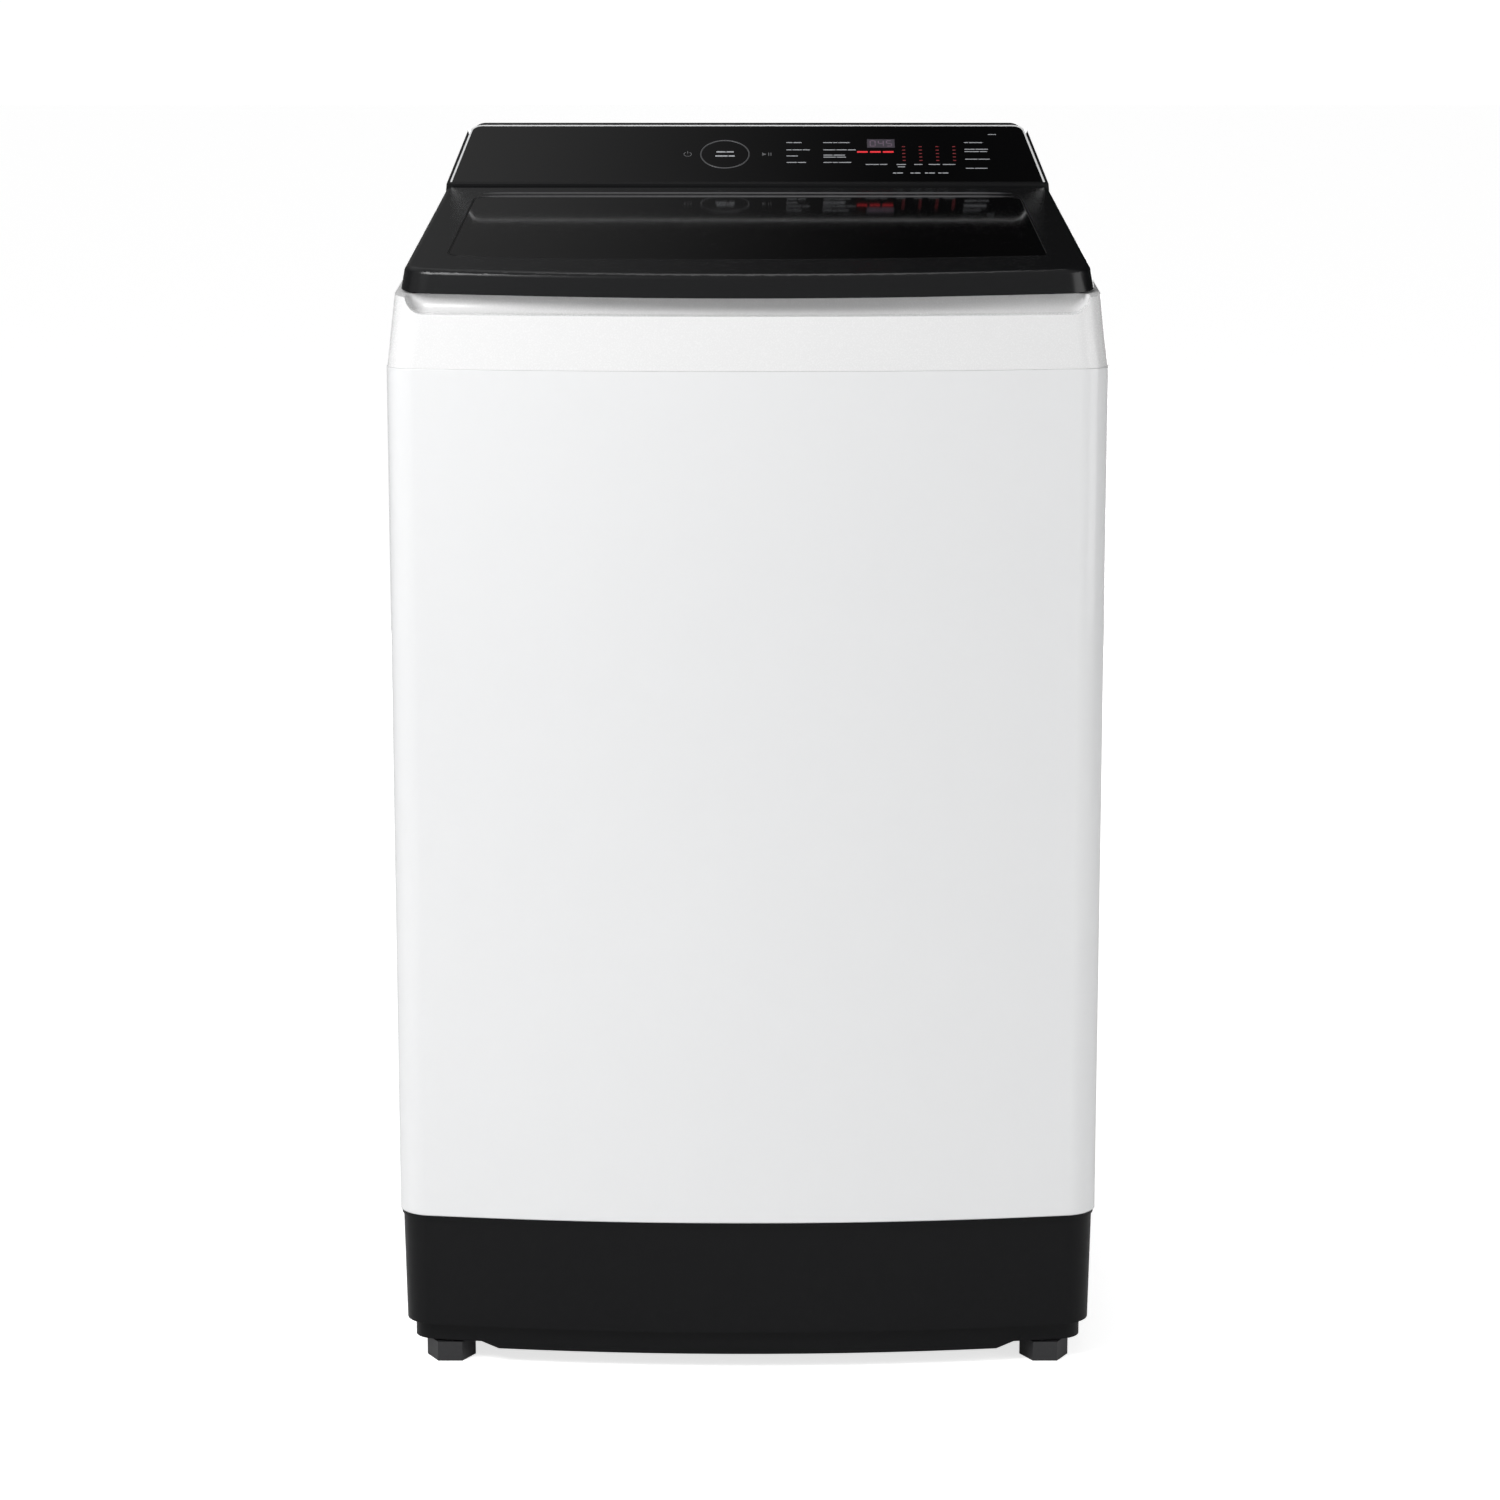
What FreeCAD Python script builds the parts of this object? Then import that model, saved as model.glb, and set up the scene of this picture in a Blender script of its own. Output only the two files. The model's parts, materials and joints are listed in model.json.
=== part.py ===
"""Top load washing machine, as an assembly of separate pieces. Millimetres, +X right, +Y back, +Z up.
The origin is on the floor, under the middle of the whole machine."""
import FreeCAD, Part
import os
import re
import Sketcher

Vector = FreeCAD.Vector
Rotation = FreeCAD.Rotation
Placement = FreeCAD.Placement

doc = FreeCAD.newDocument("top_load_washer")

# --- Driving dimensions -------------------------------------------------------------------------
SIZES = (
    # whole machine
    ("cabinet_width", 610), ("overall_depth", 675), ("overall_height", 1055),
    ("front_bulge", 26), ("corner_radius", 30), ("back_inset", 11.5), ("fit_gap", 0.4),
    # cabinet sheet and back panel
    ("sheet", 1), ("cabinet_low", 137), ("head_height", 178), ("rear_flange", 24), ("back_round", 8),
    ("panel_border", 9), ("press_margin", 70), ("screw_inset", 17), ("screw_radius", 2),
    # plastic base
    ("base_wall", 3.5), ("base_inset_high", 2.8), ("base_inset_low", 4.8), ("tier_z", 36),
    ("tier_inset", 12), ("tier_low", 19.5), ("lip_low", 14), ("lip_half", 216), ("lip_slope", 22), ("base_flange", 30),
    ("base_spigot", 14), ("boss_side", 72), ("boss_low", 25), ("boss_high", 46), ("boss_floor", 12),
    # levelling feet
    ("foot_inset_x", 43), ("foot_inset_front", 51), ("foot_inset_back", 48), ("foot_flats", 37),
    ("foot_high", 17.5), ("stem_radius", 5), ("stem_top", 78), ("nut_flats", 17), ("nut_high", 7),
    ("shaft_gap", 0.06),
    # top cover
    ("cover_wall", 3), ("cover_inset", 0.6), ("cover_lean", 0.11), ("cover_high", 130),
    ("opening_half", 212), ("opening_front", 101), ("opening_back", 200), ("opening_bow", 14),
    ("opening_round", 70), ("collar_low", 7), ("scoop_low", 45), ("scoop_deep", 31), ("scoop_half", 288),
    ("scoop_corner", 16), ("scoop_cove", 9), ("trough_z", 86), ("trough_front", 17), ("trough_side", 18.5),
    ("tail_sweep", 17.5),
    # lid
    ("hinge_from_back", 134.5), ("hinge_drop", 69), ("lid_slope", 4.55), ("lid_above", 12),
    ("lid_below", 8), ("lid_setback", 14), ("lid_tail", 11), ("lid_inset", 11.5), ("lid_lean", 0.18),
    ("lid_bulge", 33), ("lid_corner", 30), ("lid_round", 6), ("lid_wall", 3), ("glass_side", 36.5),
    ("glass_front", 84), ("glass_back", 62), ("glass_bow", 22), ("glass_corner", 16),
    ("glass_thick", 4), ("glass_gap", 1.6), ("glass_ledge", 9), ("ledge_thick", 3.5),
    ("liner_low", 6), ("liner_thick", 2.5), ("liner_back", 16), ("liner_gap", 2.4), ("lid_clear", 2), ("pin_radius", 4),
    ("pin_x", 240), ("pin_long", 36), ("post_wide", 20), ("post_thick", 10), ("post_gap", 1.5),
    ("bumper_radius", 6), ("strike_x", 250), ("strike_back", 255), ("strike_deep", 32),
    ("lock_drop", 46), ("bolt_thick", 5), ("bolt_travel", 8),
    # console
    ("console_front", 104), ("console_back", 4), ("panel_rise", 54), ("panel_run", 88),
    ("console_inset", 14), ("console_lean", 18), ("console_corner", 15), ("console_wall", 3),
    ("rim_edge", 4.6), ("trim_wide", 2), ("trim_proud", 0.3), ("panel_foot", 3), ("panel_thick", 2.5),
    ("panel_corner", 10), ("ring_radius", 23.5), ("ring_wire", 0.8), ("ring_x", -22), ("ring_up", 50),
    ("board_drop", 16),
    # detergent drawer
    ("drawer_left", 138), ("drawer_wide", 150), ("drawer_long", 150), ("drawer_high", 46),
    ("drawer_low", 26), ("drawer_wall", 2), ("drawer_gap", 1.5), ("drawer_front", 5),
    # tub and suspension
    ("tub_side_gap", 25), ("tub_depth_gap", 57.5), ("tub_forward", 12), ("tub_wall", 4),
    ("tub_low", 190), ("tub_top_gap", 22), ("tub_floor", 6), ("tub_bore", 32), ("rod_x_inset", 47),
    ("rod_front", 76), ("rod_back", 72), ("rod_radius", 4), ("rod_low", 152), ("lug_z", 330),
    ("lug_thick", 12), ("lug_radius", 24), ("lug_hole", 9), ("spring_radius", 16), ("spring_wire", 1.8),
    ("spring_turns", 10), ("cap_radius", 22), ("cap_high", 26), ("seat_radius", 12), ("seat_high", 6),
    ("bracket_drop", 14), ("bracket_leg", 145), ("bracket_thick", 2), ("drain_x", 150),
    ("drain_y", 110), ("drain_bore", 14), ("drain_wall", 2.5), ("drain_drop", 25),
    # basket, pulsator and drive
    ("basket_gap", 25), ("basket_sheet", 1), ("basket_low", 30), ("ring_high", 44), ("ring_deep", 34),
    ("ring_drop", 17), ("ring_step", 18), ("hub_radius", 95), ("spin_radius", 14), ("wash_radius", 8),
    ("bearing_radius", 26), ("bearing_high", 12), ("flange_radius", 105), ("bolt_ring", 88),
    ("bolt_count", 6), ("bolt_radius", 4), ("bowl_gap", 44), ("bowl_low", 42), ("bowl_thick", 5),
    ("blade_wide", 24), ("blade_count", 6), ("filter_wide", 96), ("filter_high", 260),
    ("filter_deep", 24), ("filter_low", 110), ("hole_rows", 7), ("hole_pairs", 8), ("hole_radius", 4),
    ("rotor_radius", 133), ("rotor_drop", 114), ("rotor_high", 50), ("rotor_wall", 3),
    ("magnet_thick", 5), ("air_gap", 1.2), ("stator_high", 26), ("stator_bore", 60), ("tooth_count", 36),
    # water and mains
    ("inlet_radius", 13.2), ("inlet_x", 110), ("inlet_pitch", 62), ("inlet_z", 56),
    ("pump_y", 150), ("pump_radius", 38), ("pump_long", 34), ("pump_wall", 3), ("shelf_z", 40),
    ("outlet_x", 210), ("outlet_rise", 25), ("tube_radius", 13), ("tube_bore", 10.5),
    ("gland_x", -150), ("gland_z", 96), ("gland_radius", 11), ("gland_bore", 4.2),
)

sheet = doc.addObject("Spreadsheet::Sheet", "Sizes")
for row, (alias, size) in enumerate(SIZES, start=1):
    sheet.set(f"A{row}", str(size))
    sheet.setAlias(f"A{row}", alias)
doc.recompute()

ALIASES = re.compile(r"\b(" + "|".join(alias for alias, _ in SIZES) + r")\b")

# --- Places that follow from the driving dimensions ---------------------------------------------
HALF = "(cabinet_width / 2)"
FRONT = "(-overall_depth / 2)"
BACK = "(overall_depth / 2 - back_inset)"
SEAM = "(overall_height - head_height)"
HINGE_Y = "(overall_depth / 2 - hinge_from_back)"
HINGE_Z = "(overall_height - hinge_drop)"
LID_LONG = f"({HINGE_Y} - {FRONT} - lid_setback)"
TUB_Y = "(-tub_forward)"
TUB_R = "min(cabinet_width / 2 - tub_side_gap; overall_depth / 2 - tub_depth_gap)"
TUB_TOP = f"({SEAM} - tub_top_gap)"
BASKET_R = f"({TUB_R} - basket_gap)"
BASKET_Z = "(tub_low + basket_low)"
ROD_X = f"({HALF} - rod_x_inset)"
ROD_FRONT = f"({FRONT} + rod_front)"
ROD_BACK = f"({BACK} - rod_back)"
CONSOLE_Y = f"({BACK} - console_front)"
PANEL_Z = "(overall_height - panel_rise)"


def link(text):
    """An expression on the sheet, from one that names its cells plainly."""
    return ALIASES.sub(r"Sizes.\1", str(text))


def value(text):
    """The number that an expression gives now."""
    return float(sheet.evalExpression(link(text)))


def bind(item, prop, text):
    item.setExpression(prop, link(text))


def place(item, x=0, y=0, z=0):
    """Binds an object's position."""
    for axis, text in zip("xyz", (x, y, z)):
        bind(item, f"Placement.Base.{axis}", text)
    return item


def turn(item, axis, angle):
    """Turns an object about an axis through its own base point."""
    item.Placement = Placement(item.Placement.Base, Rotation(Vector(axis), value(angle) or 1))
    bind(item, "Placement.Rotation.Angle", angle)
    return item


# --- Shapes ------------------------------------------------------------------------------------
def box(name, x, y, z):
    """A block between two expressions on each axis."""
    item = doc.addObject("Part::Box", name)
    for prop, (low, high) in zip(("Length", "Width", "Height"), (x, y, z)):
        bind(item, prop, f"({high}) - ({low})")
    return place(item, x[0], y[0], z[0])


AXIS_TURNS = {"z": Rotation(), "y": Rotation(Vector(1, 0, 0), -90), "x": Rotation(Vector(0, 1, 0), 90)}


def cylinder(name, radius, low, high, x=0, y=0, z=0, axis="z"):
    """A round bar along an axis from low to high, centred on the other two coordinates."""
    item = doc.addObject("Part::Cylinder", name)
    bind(item, "Radius", radius)
    bind(item, "Height", f"({high}) - ({low})")
    item.Placement = Placement(Vector(), AXIS_TURNS[axis])
    start = {"x": x, "y": y, "z": z, axis: low}
    return place(item, start["x"], start["y"], start["z"])


def prism(name, flats, low, high, x=0, y=0):
    """A hexagonal bar, upright, from its size across flats."""
    item = doc.addObject("Part::Prism", name)
    item.Polygon = 6
    bind(item, "Circumradius", f"({flats}) / sqrt(3)")
    bind(item, "Height", f"({high}) - ({low})")
    return place(item, x, y, low)


def cut(name, base, *tools):
    tool = tools[0]
    if len(tools) > 1:
        tool = doc.addObject("Part::MultiFuse", name + "_tools")
        tool.Shapes = list(tools)
    item = doc.addObject("Part::Cut", name)
    item.Base, item.Tool = base, tool
    return item


def fuse(name, *items):
    item = doc.addObject("Part::MultiFuse", name)
    item.Shapes = list(items)
    return item


def common(name, first, second):
    item = doc.addObject("Part::MultiCommon", name)
    item.Shapes = [first, second]
    return item


def group(name, items):
    """Several solids of one kind, kept apart in one piece."""
    item = doc.addObject("Part::Compound", name)
    item.Links = list(items)
    return item


def dimension(sketch, kind, geometry, point, text):
    """Adds a sketch dimension bound to an expression."""
    if point is None:
        index = sketch.addConstraint(Sketcher.Constraint(kind, geometry, value(text)))
    else:
        index = sketch.addConstraint(Sketcher.Constraint(kind, geometry, point, value(text)))
    sketch.setExpression(f"Constraints[{index}]", link(text))


def sketch_on(body, plane, offset=None):
    sketch = body.newObject("Sketcher::SketchObject", body.Name + "_sketch")
    support = next(f for f in body.Origin.OriginFeatures if f.Role == plane + "_Plane")
    sketch.AttachmentSupport = (support, [""])
    sketch.MapMode = "FlatFace"
    if offset is not None:
        bind(sketch, "AttachmentOffset.Base.z", offset)
    return sketch


def polygon(body, plane, corners, offset=None):
    """A closed outline of straight lines whose corners are pairs of expressions."""
    sketch = sketch_on(body, plane, offset)
    points = [Vector(value(x), value(y), 0) for x, y in corners]
    count = len(points)
    for i in range(count):
        sketch.addGeometry(Part.LineSegment(points[i], points[(i + 1) % count]))
    for i in range(count):
        sketch.addConstraint(Sketcher.Constraint("Coincident", i, 2, (i + 1) % count, 1))
    for i, (x, y) in enumerate(corners):
        dimension(sketch, "DistanceX", i, 1, x)
        dimension(sketch, "DistanceY", i, 1, y)
    return sketch


def bowed(body, half, front, back, bulge, offset):
    """A plan outline: straight sides and back, and a front that bows out by bulge in its middle."""
    sketch = sketch_on(body, "XY", offset)
    w, f, b, bow = value(half), value(front), value(back), value(bulge)
    corners = [Vector(-w, f + bow, 0), Vector(w, f + bow, 0), Vector(w, b, 0), Vector(-w, b, 0)]
    sketch.addGeometry(Part.Arc(corners[0], Vector(0, f, 0), corners[1]))
    for i in (1, 2, 3):
        sketch.addGeometry(Part.LineSegment(corners[i], corners[(i + 1) % 4]))
    for i in range(4):
        sketch.addConstraint(Sketcher.Constraint("Coincident", i, 2, (i + 1) % 4, 1))
    shoulder = f"({front}) + ({bulge})"
    for i, (x, y) in enumerate(((half, shoulder), (half, back), (f"-({half})", back)), start=1):
        dimension(sketch, "DistanceX", i, 1, x)
        dimension(sketch, "DistanceY", i, 1, y)
    dimension(sketch, "DistanceX", 3, 2, f"-({half})")
    dimension(sketch, "DistanceY", 3, 2, shoulder)
    dimension(sketch, "Radius", 0, None, f"(({half})^2 + ({bulge})^2) / (2 * ({bulge}))")
    return sketch


def corner_edges(shape, along, side):
    """Names of the corner edges that run along one axis, on the low (-1) or high (1) side of another."""
    axis, sign = side
    middle = getattr(shape.BoundBox.Center, axis)
    names = []
    for number, edge in enumerate(shape.Edges, start=1):
        ends = [v.Point for v in edge.Vertexes]
        runs = len(ends) == 2 and abs(getattr(ends[0], along) - getattr(ends[1], along)) > 1
        if runs and (getattr(ends[0], axis) - middle) * sign > 0:
            names.append(f"Edge{number}")
    return names


def round_edges(body, names, radius, label):
    """Adds a fillet to a body's last feature."""
    base = body.Tip
    fillet = body.newObject("PartDesign::Fillet", f"{body.Name}_{label}")
    fillet.Base = (base, names)
    bind(fillet, "Radius", radius)
    body.Tip = fillet
    doc.recompute()
    return fillet


def slab(name, half, front, back, bulge, z, rounds, lean=None):
    """A bowed block between two heights. lean is how far its sides come in for each mm of height."""
    body = doc.addObject("PartDesign::Body", name)
    outline = bowed(body, half, front, back, bulge, z[0])
    feature = body.newObject("PartDesign::Pad", name + "_pad")
    feature.Profile = outline
    bind(feature, "Length", f"({z[1]}) - ({z[0]})")
    if lean:
        bind(feature, "TaperAngle", f"-atan({lean})")
    body.Tip = feature
    doc.recompute()
    for radius, sign, label in ((rounds[0], -1, "front"), (rounds[1], 1, "back")):
        if radius:
            round_edges(body, corner_edges(body.Tip.Shape, "z", ("y", sign)), radius, label)
    return body


def pad(name, plane, corners, low, high):
    """An outline pushed along its plane's normal, from low to high."""
    body = doc.addObject("PartDesign::Body", name)
    sketch = polygon(body, plane, corners, low)
    feature = body.newObject("PartDesign::Pad", name + "_pad")
    feature.Profile = sketch
    bind(feature, "Length", f"({high}) - ({low})")
    body.Tip = feature
    doc.recompute()
    return body


def turned(name, corners, x=0, y=0, z=0):
    """A profile of (radius, height) pairs turned about an upright axis."""
    body = doc.addObject("PartDesign::Body", name)
    sketch = polygon(body, "XZ", corners)
    feature = body.newObject("PartDesign::Revolution", name + "_turn")
    feature.Profile = sketch
    feature.ReferenceAxis = (sketch, ["V_Axis"])
    feature.Angle = 360
    body.Tip = feature
    doc.recompute()
    return place(body, x, y, z)


def hoop(name, inner, outer, low, high, x=0, y=0):
    """A plain ring."""
    return turned(name, ((inner, low), (outer, low), (outer, high), (inner, high)), x, y)


def around(name, items, dx, dy):
    """Pieces laid out along +X from the tub's axis, turned to point along (dx, dy)."""
    item = place(group(name, items), 0, TUB_Y)
    return turn(item, (0, 0, 1), f"atan2({dy}; {dx})")


def turned_copy(name, items, count, index, x=0, y=0):
    """Pieces turned about an upright axis to one of count equal stations."""
    return turn(place(group(name, items), x, y), (0, 0, 1), f"360 * {index} / {count}")


PIECES = {}


def piece(label, item):
    """Names a finished sub-part. Its label is also its file's name."""
    item.Label = label
    PIECES[label] = item
    return item


def inside(half, by):
    return f"({half} - ({by}))"


# --- Cabinet sheet, back panel and corner brackets ----------------------------------------------
wrap_outer = slab("wrap_outer", HALF, FRONT, BACK, "front_bulge", ("cabinet_low", SEAM),
                  ("corner_radius", "back_round"))
wrap_inner = slab("wrap_inner", inside(HALF, "sheet"), f"{FRONT} + sheet", f"{BACK} - sheet",
                  "front_bulge", ("cabinet_low - 1", f"{SEAM} + 1"),
                  ("corner_radius - sheet", "back_round - sheet"))
rear_window = box("rear_window", (f"rear_flange - {HALF}", f"{HALF} - rear_flange"),
                  (f"{BACK} - 5", f"{BACK} + 1"), ("cabinet_low - 1", f"{SEAM} + 1"))

PANEL_HALF = f"({HALF} - panel_border)"
SCREW_X = f"({HALF} - screw_inset)"
screw_places = []
for level in range(4):
    for side in (-1, 1):
        height = f"cabinet_low + 40 + {level} * ({SEAM} - cabinet_low - 80) / 3"
        screw_places.append((f"{side} * {SCREW_X}", height))
screw_shanks = [cylinder("panel_screw_hole", "screw_radius + 0.1", f"{BACK} - 6", f"{BACK} + 6", x=x, z=z,
                         axis="y") for x, z in screw_places]
screw_holes = group("panel_screw_holes", screw_shanks)
piece("cabinet_wrap", cut("cabinet_wrap", wrap_outer, wrap_inner, rear_window, screw_holes))

PANEL_Z_RANGE = ("cabinet_low + 2", f"{SEAM} - 2")
panel_plate = box("panel_plate", (f"-{PANEL_HALF}", PANEL_HALF), (BACK, f"{BACK} + sheet"), PANEL_Z_RANGE)
press_outer = box("press_outer", (f"press_margin - {PANEL_HALF}", f"{PANEL_HALF} - press_margin"),
                  (BACK, "overall_depth / 2"), ("cabinet_low + press_margin", f"{SEAM} - press_margin"))
press_inner = box("press_inner", (f"press_margin + sheet - {PANEL_HALF}", f"{PANEL_HALF} - press_margin - sheet"),
                  (f"{BACK} - 1", "overall_depth / 2 - sheet"),
                  ("cabinet_low + press_margin + sheet", f"{SEAM} - press_margin - sheet"))
piece("back_panel", cut("back_panel", fuse("panel_pressed", panel_plate, press_outer), press_inner, screw_holes))

screws = []
for x, z in screw_places:
    head = cylinder("screw_head", "screw_radius * 2.2", f"{BACK} + sheet", f"{BACK} + sheet + 2", x=x, z=z,
                    axis="y")
    shank = cylinder("screw_shank", "screw_radius", f"{BACK} - 5", f"{BACK} + sheet + 1", x=x, z=z, axis="y")
    screws.append(fuse("panel_screw", head, shank))
piece("cabinet_screws", group("cabinet_screws", screws))

BRACKET_Z = f"({SEAM} - bracket_drop)"
ROD_PLACES = tuple((f"{side} * {ROD_X}", y) for y in (ROD_FRONT, ROD_BACK) for side in (-1, 1))
bracket_clip = slab("bracket_clip", inside(HALF, "sheet"), f"{FRONT} + sheet", f"{BACK} - sheet",
                    "front_bulge", (f"{BRACKET_Z} - bracket_thick", BRACKET_Z),
                    ("corner_radius - sheet", "back_round - sheet"))
brackets = []
for end, y_edge, reach in ((1, FRONT, "bracket_leg + front_bulge"), (-1, BACK, "bracket_leg")):
    for side in (-1, 1):
        corners = ((f"{side} * {HALF}", y_edge), (f"{side} * ({HALF} - bracket_leg)", y_edge),
                   (f"{side} * {HALF}", f"{y_edge} + {end} * ({reach})"))
        rod_y = ROD_FRONT if end > 0 else ROD_BACK
        web = pad("bracket_web", "XY", corners, f"{BRACKET_Z} - bracket_thick", BRACKET_Z)
        hole = cylinder("bracket_hole", "rod_radius + 4", f"{BRACKET_Z} - 10", f"{BRACKET_Z} + 10",
                        x=f"{side} * {ROD_X}", y=rod_y)
        brackets.append(cut("bracket", common("bracket_clipped", web, bracket_clip), hole))
piece("corner_brackets", group("corner_brackets", brackets))


# --- Base, feet and their lock nuts ------------------------------------------------------------
def base_ring(name, inset, z, lean=None):
    """A solid block that follows the cabinet's plan, set in from it."""
    return slab(name, inside(HALF, inset), f"{FRONT} + {inset}", f"{BACK} - ({inset})", "front_bulge", z,
                (f"max(corner_radius - ({inset}); 6)", "back_round"), lean)


LEDGE_Z = "(cabinet_low - 4)"
SKIRT_LEAN = "(base_inset_high - base_inset_low) / (cabinet_low - tier_z)"
skirt = base_ring("base_skirt", "base_inset_low", ("tier_z", "cabinet_low"), SKIRT_LEAN)
skirt_hollow = base_ring("skirt_hollow", "base_inset_low + base_wall", ("tier_z + base_wall", LEDGE_Z), SKIRT_LEAN)
ledge_hole = base_ring("ledge_hole", "base_flange", ("tier_z - 1", "cabinet_low + 1"))
spigot = base_ring("base_spigot_wall", "sheet + fit_gap", (LEDGE_Z, "cabinet_low + base_spigot"))
spigot_hollow = base_ring("spigot_hollow", "sheet + fit_gap + 2.5", (LEDGE_Z, "cabinet_low + base_spigot + 1"))
tier = base_ring("base_tier", "tier_inset", ("tier_low", "tier_z + 1"))
tier_hollow = base_ring("tier_hollow", "tier_inset + base_wall", ("tier_low - 1", "tier_z + 2"))
lip_block = base_ring("lip_block", "tier_inset - 1", ("lip_low", "tier_z + 1"))
lip_width = pad("lip_width", "XZ", (
    ("-lip_half", "lip_low - 1"), ("lip_half", "lip_low - 1"), ("lip_half + lip_slope", "tier_low + 2"),
    ("lip_half + lip_slope", "tier_z"), ("-lip_half - lip_slope", "tier_z"),
    ("-lip_half - lip_slope", "tier_low + 2")), f"-({FRONT} + 60)", f"-({FRONT} - 1)")
lip = common("front_lip", lip_block, lip_width)
shelf = box("pump_shelf", ("drain_x - 62", "drain_x + 62"), ("drain_y - 26", f"{BACK} - base_inset_low - 1"),
            ("tier_z", "shelf_z"))
base_shell = fuse("base_shell", cut("skirt_shell", skirt, skirt_hollow, ledge_hole),
                  cut("spigot_shell", spigot, spigot_hollow), cut("tier_shell", tier, tier_hollow),
                  cut("lip_shell", lip, tier_hollow), shelf)

FOOT_X = f"({HALF} - foot_inset_x)"
FOOT_PLACES = {
    "foot_front_left": (f"-{FOOT_X}", f"({FRONT} + foot_inset_front)"),
    "foot_front_right": (FOOT_X, f"({FRONT} + foot_inset_front)"),
    "foot_rear_left": (f"-{FOOT_X}", f"({BACK} - foot_inset_back)"),
    "foot_rear_right": (FOOT_X, f"({BACK} - foot_inset_back)"),
}
BOSS_Z = ("boss_low", "boss_low + boss_high")
boss_clip = base_ring("boss_clip", "tier_inset + 1", BOSS_Z)
pocket_clip = base_ring("pocket_clip", "tier_inset + base_wall + 2", ("boss_low", "boss_low + boss_high + 1"))
blocks, pockets, stem_bores, lock_nuts = [], [], [], []
for label, (x, y) in FOOT_PLACES.items():
    blocks.append(box("boss_block", (f"{x} - boss_side / 2", f"{x} + boss_side / 2"),
                      (f"{y} - boss_side / 2", f"{y} + boss_side / 2"), BOSS_Z))
    pocket = box("boss_pocket", (f"{x} - boss_side / 2 + 8", f"{x} + boss_side / 2 - 8"),
                 (f"{y} - boss_side / 2 + 8", f"{y} + boss_side / 2 - 8"),
                 ("boss_low + boss_floor", "boss_low + boss_high + 1"))
    post = cylinder("boss_post", "stem_radius + 5", "boss_low", "boss_low + boss_high + 2", x, y)
    pockets.append(cut("boss_hollow", pocket, post))
    stem_bores.append(cylinder("stem_bore", "stem_radius + shaft_gap", "0", "stem_top + 20", x, y))
    nut = prism("nut_hexagon", "nut_flats", "boss_low - nut_high", "boss_low", x, y)
    nut_bore = cylinder("nut_bore", "stem_radius + shaft_gap", "0", "stem_top", x, y)
    lock_nuts.append(cut("lock_nut", nut, nut_bore))
    pad_block = prism("foot_hexagon", "foot_flats", "0", "foot_high", x, y)
    stem = cylinder("foot_stem", "stem_radius", "0", "stem_top", x, y)
    piece(label, fuse(label, pad_block, stem))
bosses = common("corner_bosses", fuse("boss_blocks", *blocks), boss_clip)
hollows = common("boss_hollows", fuse("boss_pockets", *pockets), pocket_clip)
piece("foot_lock_nuts", group("foot_lock_nuts", lock_nuts))

OUTLET_Z = "(shelf_z + 4 + pump_radius + outlet_rise)"
outlet_hole = cylinder("outlet_hole", "tube_radius + 3", f"{BACK} - 30", f"{BACK} + 5", x="outlet_x",
                       z=OUTLET_Z, axis="y")
gland_hole = cylinder("gland_hole", "gland_radius - 2", f"{BACK} - 30", f"{BACK} + 5", x="gland_x", z="gland_z",
                      axis="y")
piece("base_frame", cut("base_frame", fuse("base_solid", base_shell, bosses), hollows, *stem_bores,
                        outlet_hole, gland_hole))

gland_flange = cylinder("gland_flange", "gland_radius", f"{BACK} - base_inset_high", f"{BACK} + 3", x="gland_x",
                        z="gland_z", axis="y")
gland_neck = cylinder("gland_neck", "gland_radius - 2.3", f"{BACK} - 20", f"{BACK} + 7", x="gland_x", z="gland_z",
                      axis="y")
gland_bore = cylinder("gland_bore", "gland_bore", f"{BACK} - 25", f"{BACK} + 10", x="gland_x", z="gland_z",
                      axis="y")
piece("power_gland", cut("power_gland", fuse("gland_body", gland_flange, gland_neck), gland_bore))


# --- Top cover ----------------------------------------------------------------------------------
SLOPE = "tan(lid_slope * 1 deg)"


def deck(y, lower=0):
    """Height of the deck under the lid at a depth y, or of a plane below it."""
    return f"({HINGE_Z} - lid_below - lid_clear - {lower} - ({HINGE_Y} - ({y})) * {SLOPE})"


TROUGH_Z = f"({SEAM} + trough_z)"
SCOOP_Z = f"({SEAM} + scoop_low)"
TROUGH_Y = f"({HINGE_Y} - trough_front)"


def cover_block(name, by, low):
    inset = f"cover_inset + {by}"
    return slab(name, inside(HALF, inset), f"{FRONT} + {inset}", f"{BACK} - {by}", "front_bulge",
                (low, f"{SEAM} + cover_high"), (f"corner_radius - {by}", f"back_round - {by}"), "cover_lean")


def cover_side(name, by, low):
    """The cover seen from its side. by lowers it by a wall's thickness, for the hollow."""
    front_y = f"{FRONT} - 5"
    if by == "0":
        front = ((front_y, low), (front_y, deck(front_y)), (TROUGH_Y, deck(TROUGH_Y)),
                 (CONSOLE_Y, deck(CONSOLE_Y)), (CONSOLE_Y, TROUGH_Z))
    else:
        trough_y = f"{TROUGH_Y} - {by}"
        front = ((front_y, low), (front_y, deck(front_y, by)), (trough_y, deck(trough_y, by)),
                 (trough_y, f"{TROUGH_Z} - {by}"))
    corners = (*front, (f"{BACK} + 5", f"{TROUGH_Z} - {by}"), (f"{BACK} + 5", low))
    return pad(name, "YZ", corners, f"-{HALF} - 5", f"{HALF} + 5")


cover_solid = common("cover_solid", cover_block("cover_block", "0", SEAM), cover_side("cover_side", "0", SEAM))
HIGH = f"({SEAM} + cover_high)"


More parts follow.
